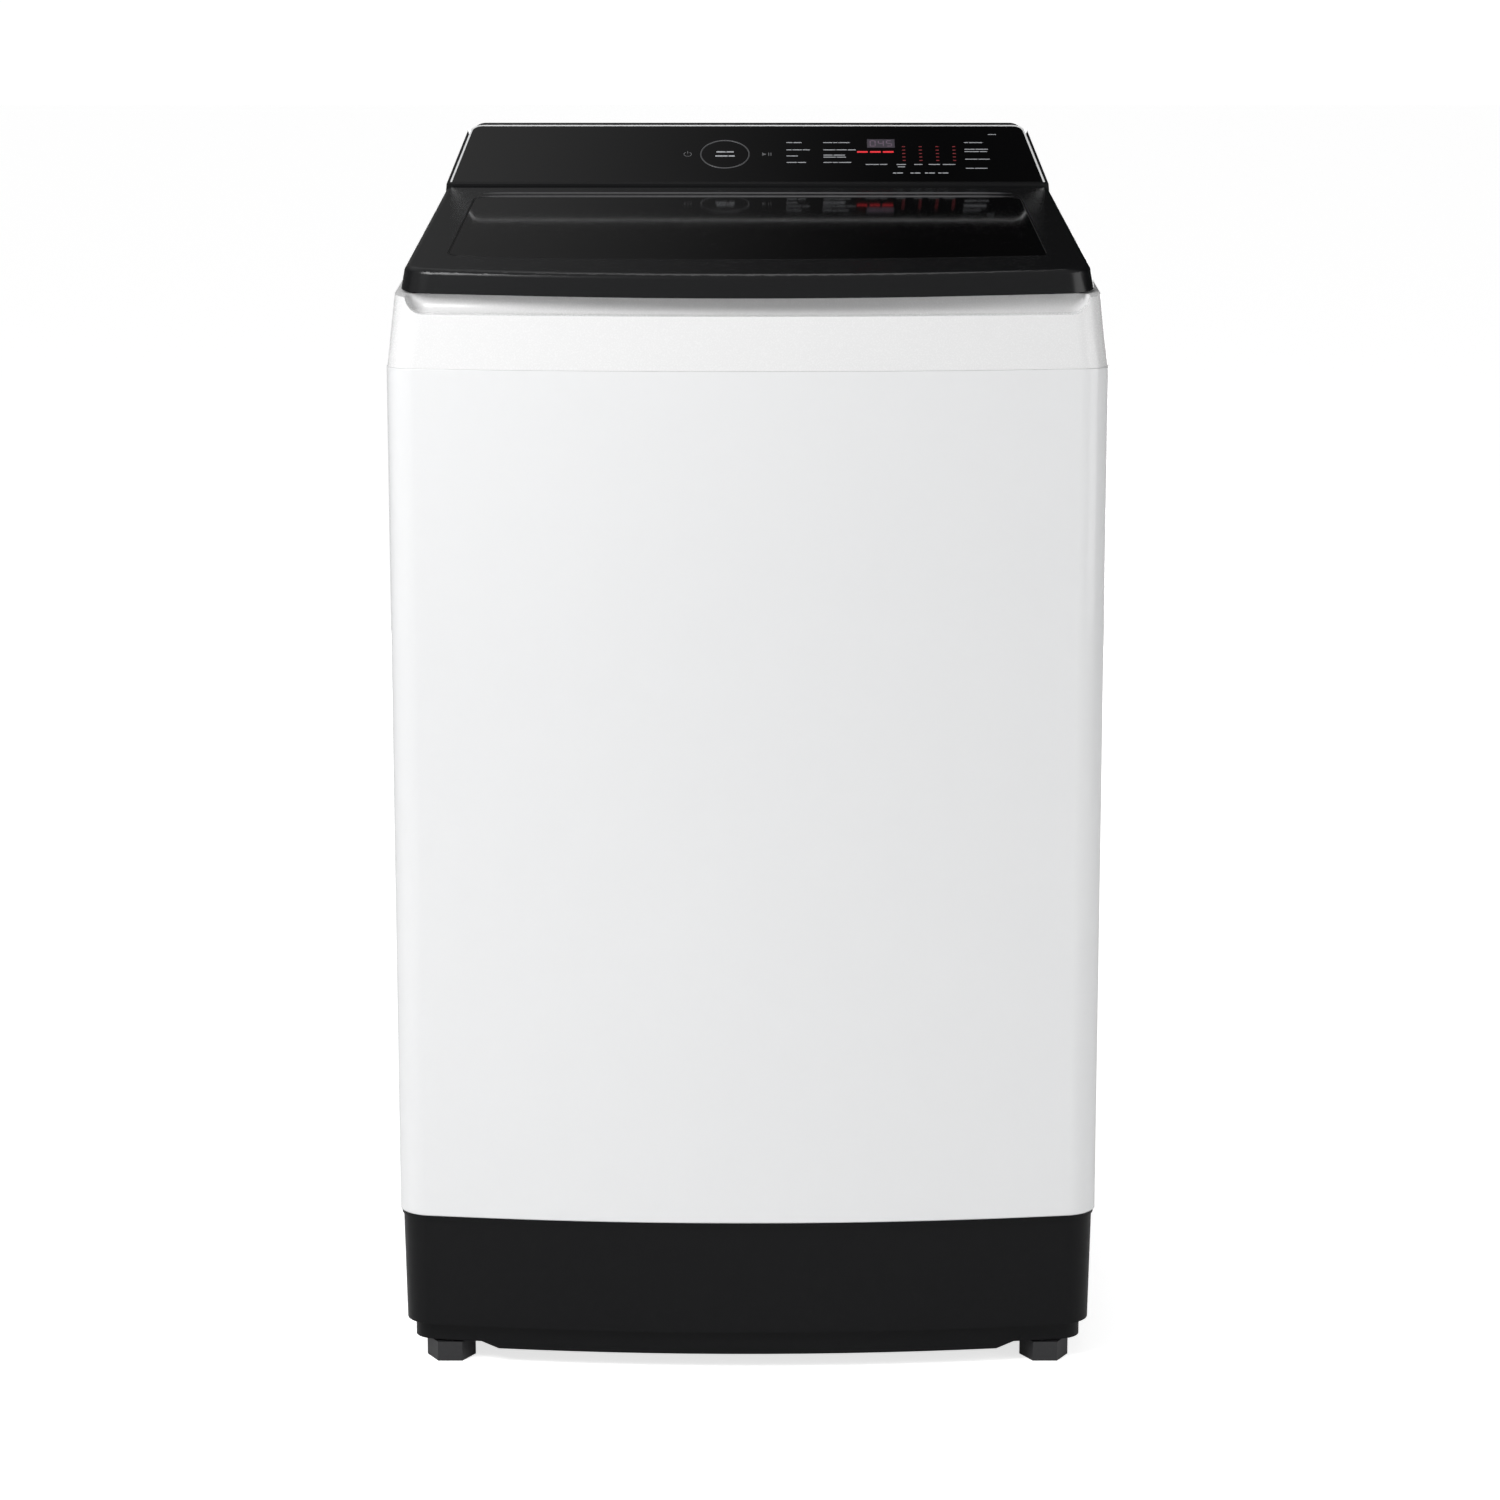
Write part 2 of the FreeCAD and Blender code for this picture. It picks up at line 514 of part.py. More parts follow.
def scoop_wall(name, by):
    """The finger scoop's bowed back wall, which follows the lid's front, or a plane set behind it."""
    return slab(name, f"({HALF} + 20)", f"{FRONT} + scoop_deep + {by}", "0", "lid_bulge",
                (f"{SCOOP_Z} - 10", f"{HIGH} + 5"), (0, 0))


scoop_room = cut("scoop_room", box("scoop_front_room", (f"-{HALF} - 5", f"{HALF} + 5"),
                                   (f"{FRONT} - 5", f"{FRONT} + scoop_deep + 60"),
                                   (f"{SCOOP_Z} - cover_wall", HIGH)), scoop_wall("room_back", "cover_wall"))
cover_hollow = cut("cover_hollow", common("cover_room", cover_block("hollow_block", "cover_wall", f"{SEAM} - 1"),
                                          cover_side("hollow_side", "cover_wall", f"{SEAM} - 1")), scoop_room)


def opening(name, by, z):
    """The laundry opening's outline, grown by a wall's thickness."""
    return slab(name, f"(opening_half + {by})", f"{FRONT} + opening_front - {by}",
                f"{BACK} - opening_back + 11.5 + {by}", "opening_bow", z,
                (f"opening_round + {by}", f"opening_round / 2 + {by}"))


OPENING_BACK = f"({BACK} - opening_back + 11.5)"
COLLAR_Z = f"({SEAM} + collar_low)"
collar = common("collar", opening("collar_block", "cover_wall", (COLLAR_Z, HIGH)),
                cover_side("collar_side", "0", f"{SEAM} + 1"))
scoop_front = pad("scoop_front", "XZ", (("-scoop_half", SCOOP_Z), ("scoop_half", SCOOP_Z),
                                        ("scoop_half", f"{SCOOP_Z} + 30"), ("-scoop_half", f"{SCOOP_Z} + 30")),
                  f"-({FRONT} + scoop_deep + 40)", f"-({FRONT} - 5)")
floor_z = value(SCOOP_Z)
scoop_ends = [f"Edge{n}" for n, edge in enumerate(scoop_front.Tip.Shape.Edges, start=1)
              if all(abs(v.Point.z - floor_z) < 0.01 for v in edge.Vertexes)
              and abs(edge.Vertexes[0].Point.x - edge.Vertexes[1].Point.x) < 0.01]
round_edges(scoop_front, scoop_ends, "scoop_corner", "ends")
scoop_sharp = cut("scoop_sharp", scoop_front, scoop_wall("scoop_back", "0"))
doc.recompute()
behind = value(f"{FRONT} + 1")
cove_edges = [n for n, edge in enumerate(scoop_sharp.Shape.Edges, start=1)
              if edge.BoundBox.YMin > behind and edge.BoundBox.ZMax < floor_z + value("scoop_corner") + 0.1
              and edge.BoundBox.XLength > 5]
scoop = doc.addObject("Part::Fillet", "scoop")
scoop.Base = scoop_sharp
scoop.Edges = [(n, value("scoop_cove"), value("scoop_cove")) for n in cove_edges]
trough = box("trough", (f"trough_side - {HALF}", f"{HALF} - trough_side"), (TROUGH_Y, CONSOLE_Y),
             (TROUGH_Z, HIGH))
tail_room = box("tail_room", (f"-{HALF} - 5", f"{HALF} + 5"), (TROUGH_Y, CONSOLE_Y),
                (f"{HINGE_Z} - tail_sweep", HIGH))

DRAWER_X = ("-drawer_left", "drawer_wide - drawer_left")
DRAWER_Z = (f"{SEAM} + drawer_low", f"{SEAM} + drawer_low + drawer_high")
DRAWER_Y = (OPENING_BACK, f"{OPENING_BACK} + drawer_long")


def drawer_block(name, grow, y=None, z_grow=None):
    """The drawer's envelope grown on its sides, bottom and top."""
    up = z_grow or grow
    return box(name, (f"{DRAWER_X[0]} - {grow}", f"{DRAWER_X[1]} + {grow}"), y or DRAWER_Y,
               (f"{DRAWER_Z[0]} - {up}", f"{DRAWER_Z[1]} + {up}"))


window = drawer_block("drawer_window", "drawer_gap", (f"{OPENING_BACK} - 12", f"{OPENING_BACK} + 12"))

STRIKE_Y = f"({HINGE_Y} - strike_back * cos(lid_slope * 1 deg))"
LOCK_Z = f"({HINGE_Z} - lock_drop)"
lock_slot = box("lock_slot", ("strike_x - 5", "strike_x + 6"), (f"{STRIKE_Y} - 11", f"{STRIKE_Y} + 11"),
                (f"{LOCK_Z} - 5", HIGH))
INLET_PLACES = tuple((f"inlet_x + {i} * inlet_pitch", f"{SEAM} + inlet_z") for i in range(2))
port_holes = [cylinder("port_hole", "inlet_radius + 1.5", f"{BACK} - 25", f"{BACK} + 5", x=x, z=z, axis="y")
              for x, z in INLET_PLACES]
piece("top_cover", cut("top_cover", fuse("cover_walls", cut("cover_shell", cover_solid, cover_hollow), collar),
                       opening("opening_cut", "0", (f"{SEAM} - 5", HIGH)), scoop, trough, tail_room, window,
                       lock_slot,
                       *port_holes))

# --- Detergent drawer and its housing -----------------------------------------------------------
housing_y = (f"{OPENING_BACK} + cover_wall", f"{DRAWER_Y[1]} + drawer_gap + drawer_wall")
housing_shell = drawer_block("housing_shell", "(drawer_gap + drawer_wall)", housing_y)
housing_hollow = drawer_block("housing_hollow", "drawer_gap", (f"{OPENING_BACK} - 5", f"{DRAWER_Y[1]} + drawer_gap"))
spout = box("drawer_spout", ("-40 - drawer_left + drawer_wide / 2 + 10", "drawer_wide / 2 - drawer_left + 30"),
            (f"{housing_y[0]}", f"{housing_y[0]} + 26"), (f"{DRAWER_Z[0]} - 9", f"{DRAWER_Z[0]} - drawer_gap"))
spout_bore = box("spout_bore", ("-38 - drawer_left + drawer_wide / 2 + 10", "drawer_wide / 2 - drawer_left + 28"),
                 (f"{housing_y[0]} + 2", f"{housing_y[0]} + 24"), (f"{DRAWER_Z[0]} - 20", f"{DRAWER_Z[0]} + 1"))
piece("drawer_housing", cut("drawer_housing", fuse("housing_walls", housing_shell, spout), housing_hollow,
                            spout_bore))

tray = drawer_block("tray_block", "0")
bays = []
for low, high in (("0", "drawer_wide * 0.45"), ("drawer_wide * 0.45 + drawer_wall", "drawer_wide")):
    bays.append(box("tray_bay", (f"drawer_wall + {low} - drawer_left", f"{high} - drawer_wall - drawer_left"),
                    (f"{DRAWER_Y[0]} + drawer_front", f"{DRAWER_Y[1]} - drawer_wall"),
                    (f"{DRAWER_Z[0]} + drawer_wall", f"{DRAWER_Z[1]} + 1")))
grip = box("tray_grip", ("drawer_wide / 2 - drawer_left - 26", "drawer_wide / 2 - drawer_left + 26"),
           (f"{DRAWER_Y[0]} - 1", f"{DRAWER_Y[0]} + drawer_front - 2"),
           (f"{DRAWER_Z[0]} - 1", f"{DRAWER_Z[0]} + 14"))
piece("detergent_drawer", cut("detergent_drawer", tray, *bays, grip))

# --- Inlet valve --------------------------------------------------------------------------------
INLET_Z = f"({SEAM} + inlet_z)"
WALL_Y = f"({BACK} - cover_wall - cover_lean * (inlet_z + 22) - 0.5)"
valve_body = box("valve_body", ("inlet_x - 18", "inlet_x + inlet_pitch + 18"), (f"{WALL_Y} - 36", WALL_Y),
                 (f"{INLET_Z} - 22", f"{INLET_Z} + 20"))
coils = [box("valve_coil", (f"{x} - 12", f"{x} + 12"), (f"{WALL_Y} - 34", f"{WALL_Y} - 6"),
             (f"{INLET_Z} - 46", f"{INLET_Z} - 22")) for x, z in INLET_PLACES]
ports = [cylinder("valve_port", "inlet_radius", WALL_Y, "overall_depth / 2 - 0.5", x=x, z=z, axis="y")
         for x, z in INLET_PLACES]
collars = [cylinder("port_collar", "inlet_radius + 1", f"{WALL_Y} - 1", f"{BACK} - cover_wall", x=x, z=z, axis="y")
           for x, z in INLET_PLACES]
port_bores = [cylinder("port_bore", "inlet_radius - 4", f"{WALL_Y} - 20", "overall_depth / 2", x=x, z=z, axis="y")
              for x, z in INLET_PLACES]
feed = cylinder("valve_feed", "8", f"{DRAWER_X[1]} + drawer_gap + drawer_wall", "inlet_x - 17",
                y=f"{DRAWER_Y[1]} - 12", z=f"{INLET_Z} - 8", axis="x")
feed_bore = cylinder("feed_bore", "6", f"{DRAWER_X[1]}", "inlet_x - 10", y=f"{DRAWER_Y[1]} - 12",
                     z=f"{INLET_Z} - 8", axis="x")
feed_arm = box("feed_arm", ("inlet_x - 18", "inlet_x + 6"), (f"{DRAWER_Y[1]} - 22", f"{WALL_Y} - 30"),
               (f"{INLET_Z} - 18", f"{INLET_Z} + 2"))
piece("inlet_valve", cut("inlet_valve", fuse("valve_parts", valve_body, *coils, *ports, *collars, feed,
                                          feed_arm),
                         *port_bores, feed_bore))

# --- Lid lock -----------------------------------------------------------------------------------
LOCK_X = ("strike_x - 24", "strike_x + 22")


def lock_block(name, by):
    return box(name, (f"{LOCK_X[0]} + {by}", f"{LOCK_X[1]} - {by}"),
               (f"{STRIKE_Y} - 24 + {by}", f"{STRIKE_Y} + 24 - {by}"),
               (f"{LOCK_Z} - 18 + {by}", f"{LOCK_Z} + 11 - {by}"))


BOLT_X = ("strike_x - 20", "strike_x - 2 - bolt_travel + 4")


def bolt_block(name, by, x):
    return box(name, x, (f"{STRIKE_Y} - 4 - {by}", f"{STRIKE_Y} + 4 + {by}"),
               (f"{LOCK_Z} - bolt_thick / 2 - {by}", f"{LOCK_Z} + bolt_thick / 2 + {by}"))


lock_guide = box("lock_guide", (f"{LOCK_X[0]} + 1", f"{LOCK_X[0]} + 16"), (f"{STRIKE_Y} - 9", f"{STRIKE_Y} + 9"),
                 (f"{LOCK_Z} - 17", f"{LOCK_Z} + 10"))
piece("lock_housing", cut("lock_housing", fuse("lock_walls", cut("lock_shell", lock_block("lock_outer", "0"),
                                                                 lock_block("lock_inner", "2")), lock_guide),
                          bolt_block("guide_bore", "0.3", (f"{LOCK_X[0]} + 2.5", f"{LOCK_X[0]} + 20")),
                          box("lock_mouth", ("strike_x - 5", "strike_x + 6"),
                              (f"{STRIKE_Y} - 11", f"{STRIKE_Y} + 11"), (f"{LOCK_Z} + 5", f"{LOCK_Z} + 12"))))
piece("lock_bolt", bolt_block("lock_bolt", "0", BOLT_X))


# --- Lid, in its own frame: origin on the hinge axis, -Y forward, +Z square to the lid's face ---
def on_lid(name, *items):
    """Sets lid pieces on the hinge axis at the lid's slope."""
    return turn(place(group(name, items), 0, HINGE_Y, HINGE_Z), (1, 0, 0), "lid_slope")


def lid_block(name, by, z, rounds):
    inset = f"lid_inset + {by}"
    return slab(name, inside(HALF, inset), f"{by} - {LID_LONG}", f"lid_tail - {by}", "lid_bulge", z, rounds, "lid_lean")


def glass_block(name, grow, z):
    """The glass's outline, grown or shrunk all round."""
    return slab(name, f"({HALF} - lid_inset - glass_side + {grow})", f"glass_front - {LID_LONG} - {grow}",
                f"{grow} - glass_back", "glass_bow", z, (f"glass_corner + {grow}", f"glass_corner + {grow}"))


lid_outer = lid_block("lid_outer", "0", ("-lid_below", "lid_above"), ("lid_corner", "6"))
top_z = value("lid_above")
crown = [f"Edge{n}" for n, edge in enumerate(lid_outer.Tip.Shape.Edges, start=1)
         if all(abs(v.Point.z - top_z) < 0.01 for v in edge.Vertexes)]
round_edges(lid_outer, crown, "lid_round", "crown")
lid_inner = lid_block("lid_inner", "(lid_wall + 1)", ("-lid_below - 1", "lid_above - lid_wall"),
                      ("lid_corner - lid_wall - 1", "3"))
GLASS_Z = "(lid_above - glass_thick)"
ledge = glass_block("glass_ledge_block", "4", (f"{GLASS_Z} - ledge_thick", "lid_above - 1"))
glass_pocket = glass_block("glass_pocket", "glass_gap", (GLASS_Z, "lid_above + 1"))
glass_hole = glass_block("glass_hole", "-glass_ledge", ("-lid_below - 2", "lid_above + 2"))
ears, notches = [], []
for side in (-1, 1):
    middle = f"{side} * pin_x"
    ears.append(box("hinge_ear", (f"{middle} - pin_long / 2", f"{middle} + pin_long / 2"), ("-10", "lid_tail - 1"),
                    ("-lid_below", "lid_above - 1")))
    notches.append(box("hinge_notch", (f"{middle} - post_wide / 2 - post_gap", f"{middle} + post_wide / 2 + post_gap"),
                       ("-11", "lid_tail + 1"), ("-lid_below - 1", "pin_radius + 4.3")))
    notches.append(cylinder("ear_bore", "pin_radius", f"{middle} - pin_long / 2 - 1", f"{middle} + pin_long / 2 + 1",
                            axis="x"))
lid_solid = fuse("lid_solid", cut("lid_shell", lid_outer, lid_inner), ledge, *ears)
piece("lid_frame", on_lid("lid_frame", cut("lid_cut", lid_solid, glass_pocket, glass_hole, *notches)))
piece("lid_glass", on_lid("lid_glass", glass_block("glass_plate", "0", (GLASS_Z, "lid_above"))))

LINER_Z = ("-liner_low", "liner_thick - liner_low")
liner_plate = slab("liner_plate", inside(HALF, "lid_inset + lid_wall + liner_gap"), f"lid_wall + liner_gap - {LID_LONG}",
                   "-liner_back", "lid_bulge", LINER_Z, ("lid_corner - lid_wall", 4))
upstand = glass_block("liner_upstand", "2.5 - glass_ledge", (LINER_Z[0], f"{GLASS_Z} - ledge_thick"))
piece("lid_liner", on_lid("lid_liner", cut("liner_cut", fuse("liner_solid", liner_plate, upstand),
                                           glass_block("liner_hole", "-glass_ledge", ("-20", "20")))))

BUMPER_PLACES = [(f"{side} * ({HALF} - {x})", y) for side in (-1, 1)
                 for x, y in (("36", "-36"), ("56", f"54 - {LID_LONG}"))]
piece("lid_bumpers", on_lid("lid_bumpers", *[
    cylinder("bumper", "bumper_radius", "0.1 - lid_below - lid_clear", "-liner_low", x, y)
    for x, y in BUMPER_PLACES]))

piece("lid_hinge_pins", on_lid("lid_hinge_pins", *[
    cylinder("hinge_pin", "pin_radius", f"{side} * pin_x - pin_long / 2", f"{side} * pin_x + pin_long / 2", axis="x")
    for side in (-1, 1)]))

posts, post_bores = [], []
for side in (-1, 1):
    middle = f"{side} * pin_x"
    ends = (f"{middle} - post_wide / 2", f"{middle} + post_wide / 2")
    stem = box("post_stem", ends, (f"{HINGE_Y} - post_thick / 2", f"{HINGE_Y} + post_thick / 2"),
               (TROUGH_Z, HINGE_Z))
    eye = cylinder("post_eye", "pin_radius + 3.4", *ends, y=HINGE_Y, z=HINGE_Z, axis="x")
    shoe = box("post_shoe", (f"{middle} - post_wide", f"{middle} + post_wide"), (f"{HINGE_Y} - 14", f"{HINGE_Y} + 14"),
               (TROUGH_Z, f"{TROUGH_Z} + 3"))
    bore = cylinder("post_bore", "pin_radius + shaft_gap", f"{ends[0]} - 1", f"{ends[1]} + 1", y=HINGE_Y, z=HINGE_Z,
                    axis="x")
    posts.append(cut("hinge_post", fuse("post_solid", stem, eye, shoe), bore))
piece("hinge_brackets", group("hinge_brackets", posts))

STRIKE_Z = "(strike_back * sin(lid_slope * 1 deg) - lock_drop) / cos(lid_slope * 1 deg)"
strike_tab = box("strike_tab", ("strike_x - 1", "strike_x + 2"), ("-strike_back - 7", "7 - strike_back"),
                 ("-strike_deep", "-liner_low"))
strike_foot = box("strike_foot", ("strike_x - 1", "strike_x + 14"), ("-strike_back - 7", "7 - strike_back"),
                  ("-liner_low - 1.6", "-liner_low"))
strike_hole = box("strike_hole", ("strike_x - 5", "strike_x + 5"), ("-strike_back - 4.6 - 2.4", "4.6 - strike_back"),
                  (f"{STRIKE_Z} - bolt_thick / 2 - 1", f"{STRIKE_Z} + bolt_thick / 2 + 1"))
piece("lid_strike", on_lid("lid_strike", cut("strike_cut", fuse("strike_solid", strike_tab, strike_foot),
                                             strike_hole)))

# --- Console, whose panel parts have a frame of their own: origin on the panel's lower edge ------
PANEL_TILT = "atan(panel_rise / panel_run)"
PANEL_LONG = "sqrt(panel_rise^2 + panel_run^2)"
PANEL_EDGE = f"({HALF} - console_inset)"
CONSOLE_TOP = "overall_height"
CONSOLE_BACK = f"({BACK} + console_back)"


def on_panel(name, *items):
    """Sets console pieces on the sloping panel: +Y up the slope and +Z out of it."""
    return turn(place(group(name, items), 0, CONSOLE_Y, PANEL_Z), (1, 0, 0), PANEL_TILT)


def console_shape(name, by, low):
    """The console's solid, set in by a wall's thickness."""
    foot = f"({HALF} - cover_inset - cover_lean * trough_z - {by})"
    edge = f"({PANEL_EDGE} - {by})"
    top = f"({PANEL_EDGE} - console_lean - {by})"
    high = f"{CONSOLE_TOP} - {by}"
    outline = pad(name + "_front", "XZ", ((f"-{foot}", low), (foot, low), (edge, PANEL_Z), (top, high),
                                          (f"-{top}", high), (f"-{edge}", PANEL_Z)),
                  f"-{CONSOLE_BACK} - 5", f"-{CONSOLE_Y} + 5")
    side = pad(name + "_side", "YZ", ((f"{CONSOLE_Y} + {by}", low), (f"{CONSOLE_Y} + {by}", f"{PANEL_Z} - {by} * 0.6"),
                                      (f"{CONSOLE_Y} + panel_run + {by} * 0.3", high),
                                      (f"{CONSOLE_BACK} - {by}", high), (f"{CONSOLE_BACK} - {by}", low)),
               f"-{HALF}", HALF)
    return common(name, outline, side)


def panel_block(name, grow, z, low="panel_foot"):
    """The panel's outline, grown at its sides and top."""
    top_y = f"({PANEL_LONG} - rim_edge + {grow})"

    def half(y):
        return f"({PANEL_EDGE} - console_lean * ({y}) / {PANEL_LONG} - rim_edge + {grow})"
    body = pad(name, "XY", ((f"-{half(low)}", low), (half(low), low), (half(top_y), top_y),
                            (f"-{half(top_y)}", top_y)), *z)
    round_edges(body, corner_edges(body.Tip.Shape, "z", ("y", 1)), f"panel_corner + {grow}", "corners")
    return body


console_solid = cut("console_walls", console_shape("console_outer", "0", TROUGH_Z),
                    console_shape("console_inner", "console_wall", f"{TROUGH_Z} - 1"))
console_pocket = on_panel("console_pocket", panel_block("panel_pocket", "trim_wide", ("-panel_thick", "6"),
                                                        "panel_foot - 0.3"))
board_window = on_panel("board_window", panel_block("board_hole", "-9", ("-12", "1"), "12"))
console_corners = []
for side in (-1, 1):
    top = f"({PANEL_EDGE} - console_lean)"
    square = box("corner_square", ("-console_corner", "0.5"), (f"{CONSOLE_Y} - 5", f"{CONSOLE_BACK} + 5"),
                 ("-console_corner", "1"))
    reel = cylinder("corner_round", "console_corner", f"{CONSOLE_Y} - 6", f"{CONSOLE_BACK} + 6",
                    x="-console_corner", z="-console_corner", axis="y")
    trimmed = cut("corner_trim", square, reel)
    corner = group("console_corner_trim", [trimmed])
    if side > 0:
        place(corner, f"{top} + 1.4", 0, CONSOLE_TOP)
    else:
        corner.Placement = Placement(Vector(), Rotation(Vector(0, 0, 1), 180))
        place(corner, f"-{top} - 1.4", f"{CONSOLE_Y} + {CONSOLE_BACK}", CONSOLE_TOP)
    console_corners.append(corner)
piece("console_housing", cut("console_housing", console_solid, console_pocket, board_window, *console_corners))
ring_groove = turned("ring_groove", (("ring_radius - ring_wire - 0.1", "-0.4"), ("ring_radius + ring_wire + 0.1", "-0.4"),
                                     ("ring_radius + ring_wire + 0.1", "1"), ("ring_radius - ring_wire - 0.1", "1")),
                     "ring_x", "ring_up")
plate = panel_block("panel_sheet", "-0.1", ("-panel_thick", "0"))
piece("console_panel", on_panel("console_panel", cut("panel_cut", plate, ring_groove)))
trim_outer = panel_block("trim_outer", "trim_wide - 0.1", ("-1.8", "trim_proud"))
trim_inner = panel_block("trim_inner", "0", ("-3", "3"), "panel_foot - 5")
piece("console_trim", on_panel("console_trim", cut("trim_cut", trim_outer, trim_inner)))
ring = turned("ring_turned", (("ring_radius - ring_wire", "-0.4"), ("ring_radius + ring_wire", "-0.4"),
                              ("ring_radius + ring_wire", "0.2"), ("ring_radius", "0.6"),
                              ("ring_radius - ring_wire", "0.2")), "ring_x", "ring_up")
piece("dial_ring", on_panel("dial_ring", ring))

board = box("board_sheet", ("-130", "190"), ("22", "84"), ("-board_drop", "1.6 - board_drop"))
board_posts = [cylinder("board_post", "3", "-board_drop + 1", "-panel_thick", x, y)
               for x in ("-124", "30", "184") for y in ("28", "78")]
board_parts = [box("board_part", (f"{x}", f"{x} + {w}"), ("32", f"32 + {d}"), ("-board_drop - 9", "-board_drop"))
               for x, w, d in ((-110, 36, 30), (-40, 24, 24), (60, 50, 18), (130, 30, 34))]
piece("control_board", on_panel("control_board", fuse("board_solid", board, *board_posts, *board_parts)))
sensor = cylinder("sensor_can", "20", TROUGH_Z, f"{TROUGH_Z} + 20", "200", f"{CONSOLE_Y} + 56")
sensor_neck = cylinder("sensor_neck", "4", f"{TROUGH_Z} + 20", f"{TROUGH_Z} + 32", "200", f"{CONSOLE_Y} + 56")
piece("pressure_sensor", fuse("pressure_sensor", sensor, sensor_neck))

# --- Tub, its cover and its drain ---------------------------------------------------------------
TUB_IN = f"({TUB_R} - tub_wall)"
tub_wall = turned("tub_wall_turned", (("tub_bore", "tub_low"), (TUB_R, "tub_low"), (TUB_R, TUB_TOP), (TUB_IN, TUB_TOP),
                                      (TUB_IN, "tub_low + tub_floor"), ("tub_bore", "tub_low + tub_floor")), 0, TUB_Y)
tub_room = cylinder("tub_room", TUB_IN, "tub_low + tub_floor", TUB_TOP, 0, TUB_Y)
arms, lug_holes = [], []
for x, y in ROD_PLACES:
    dx, dy = x, f"({y} - {TUB_Y})"
    reach = f"sqrt(({dx})^2 + ({dy})^2)"
    arm = box("lug_arm", (f"{TUB_R} - 8", reach), ("-lug_radius", "lug_radius"), ("lug_z", "lug_z + lug_thick"))
    rib = box("lug_rib", (f"{TUB_R} - 8", f"{reach} - 14"), ("-4", "4"), ("lug_z + lug_thick", "lug_z + lug_thick + 40"))
    eye = cylinder("lug_eye", "lug_radius", "lug_z", "lug_z + lug_thick", reach)
    arms.append(around("lug", [fuse("lug_solid", arm, rib, eye)], dx, dy))
    lug_holes.append(cylinder("lug_hole_cut", "lug_hole", "lug_z - 5", "lug_z + 60", x, y))
nozzle = cylinder("tub_nozzle", "drain_bore + drain_wall", "tub_low - drain_drop", "tub_low + 2", "drain_x", "drain_y")
nozzle_bore = cylinder("nozzle_bore", "drain_bore", "tub_low - drain_drop - 2", "tub_low + 10", "drain_x", "drain_y")
bolt_holes = group("tub_bolt_holes", [turned_copy("bolt_hole", [cylinder("bolt_hole_cut", "bolt_radius + 0.2",
                   "tub_low - 20", "tub_low + 20", "bolt_ring")], "bolt_count", i, 0, TUB_Y)
                   for i in range(int(value("bolt_count")))])
tub_solid = fuse("tub_solid", tub_wall, cut("lugs", group("lug_group", arms), tub_room), nozzle)
piece("outer_tub", cut("outer_tub", tub_solid, nozzle_bore, bolt_holes, *lug_holes))

MOUTH_R = f"({BASKET_R} - 19)"
piece("tub_cover", turned("tub_cover", (
    (MOUTH_R, f"{TUB_TOP} - 7"), (f"{MOUTH_R} + 3", f"{TUB_TOP} - 7"), (f"{MOUTH_R} + 3", TUB_TOP),
    (f"{TUB_R} + 0.3", TUB_TOP), (f"{TUB_R} + 0.3", f"{TUB_TOP} - 14"), (f"{TUB_R} + 4", f"{TUB_TOP} - 14"),
    (f"{TUB_R} + 4", f"{TUB_TOP} + 4"), (f"{TUB_R} - 4", f"{TUB_TOP} + 7"), (MOUTH_R, f"{TUB_TOP} + 4")), 0, TUB_Y))

# --- Suspension: rods hung from the corner brackets, springs and caps under the tub's lugs -------
rods, springs, caps = [], [], []
SPRING_LOW = "(rod_low + 2 * seat_high)"
CAP_TOP = "lug_z"
SPRING_TOP = "(lug_z - 6)"
for x, y in ROD_PLACES:
    rod = cylinder("rod", "rod_radius", "rod_low", f"{BRACKET_Z} + seat_high", x, y)
    hanger = cylinder("rod_hanger", "seat_radius", BRACKET_Z, f"{BRACKET_Z} + seat_high", x, y)
    washer = cylinder("rod_washer", "cap_radius", "rod_low + seat_high", SPRING_LOW, x, y)
    end_nut = prism("rod_nut", "nut_flats", "rod_low", "rod_low + seat_high", x, y)
    rods.append(fuse("suspension_rod", rod, hanger, washer, end_nut))
    coil = turned("spring_coil", (("spring_radius - spring_wire", SPRING_LOW), ("spring_radius + spring_wire", SPRING_LOW),
                                  ("spring_radius + spring_wire", SPRING_TOP),
                                  ("spring_radius - spring_wire", SPRING_TOP)), x, y)
    springs.append(coil)
    caps.append(turned("damper_cap", (("rod_radius + 0.5", SPRING_TOP), ("cap_radius - 3", SPRING_TOP),
                                      ("cap_radius - 3", "lug_z - cap_high"), ("cap_radius", "lug_z - cap_high"),
                                      ("cap_radius", CAP_TOP), ("lug_hole - 0.4", CAP_TOP),
                                      ("lug_hole - 0.4", "lug_z + lug_thick"),
                                      ("rod_radius + 0.5", "lug_z + lug_thick")), x, y))
piece("suspension_rods", group("suspension_rods", rods))
piece("suspension_springs", group("suspension_springs", springs))
piece("damper_caps", group("damper_caps", caps))

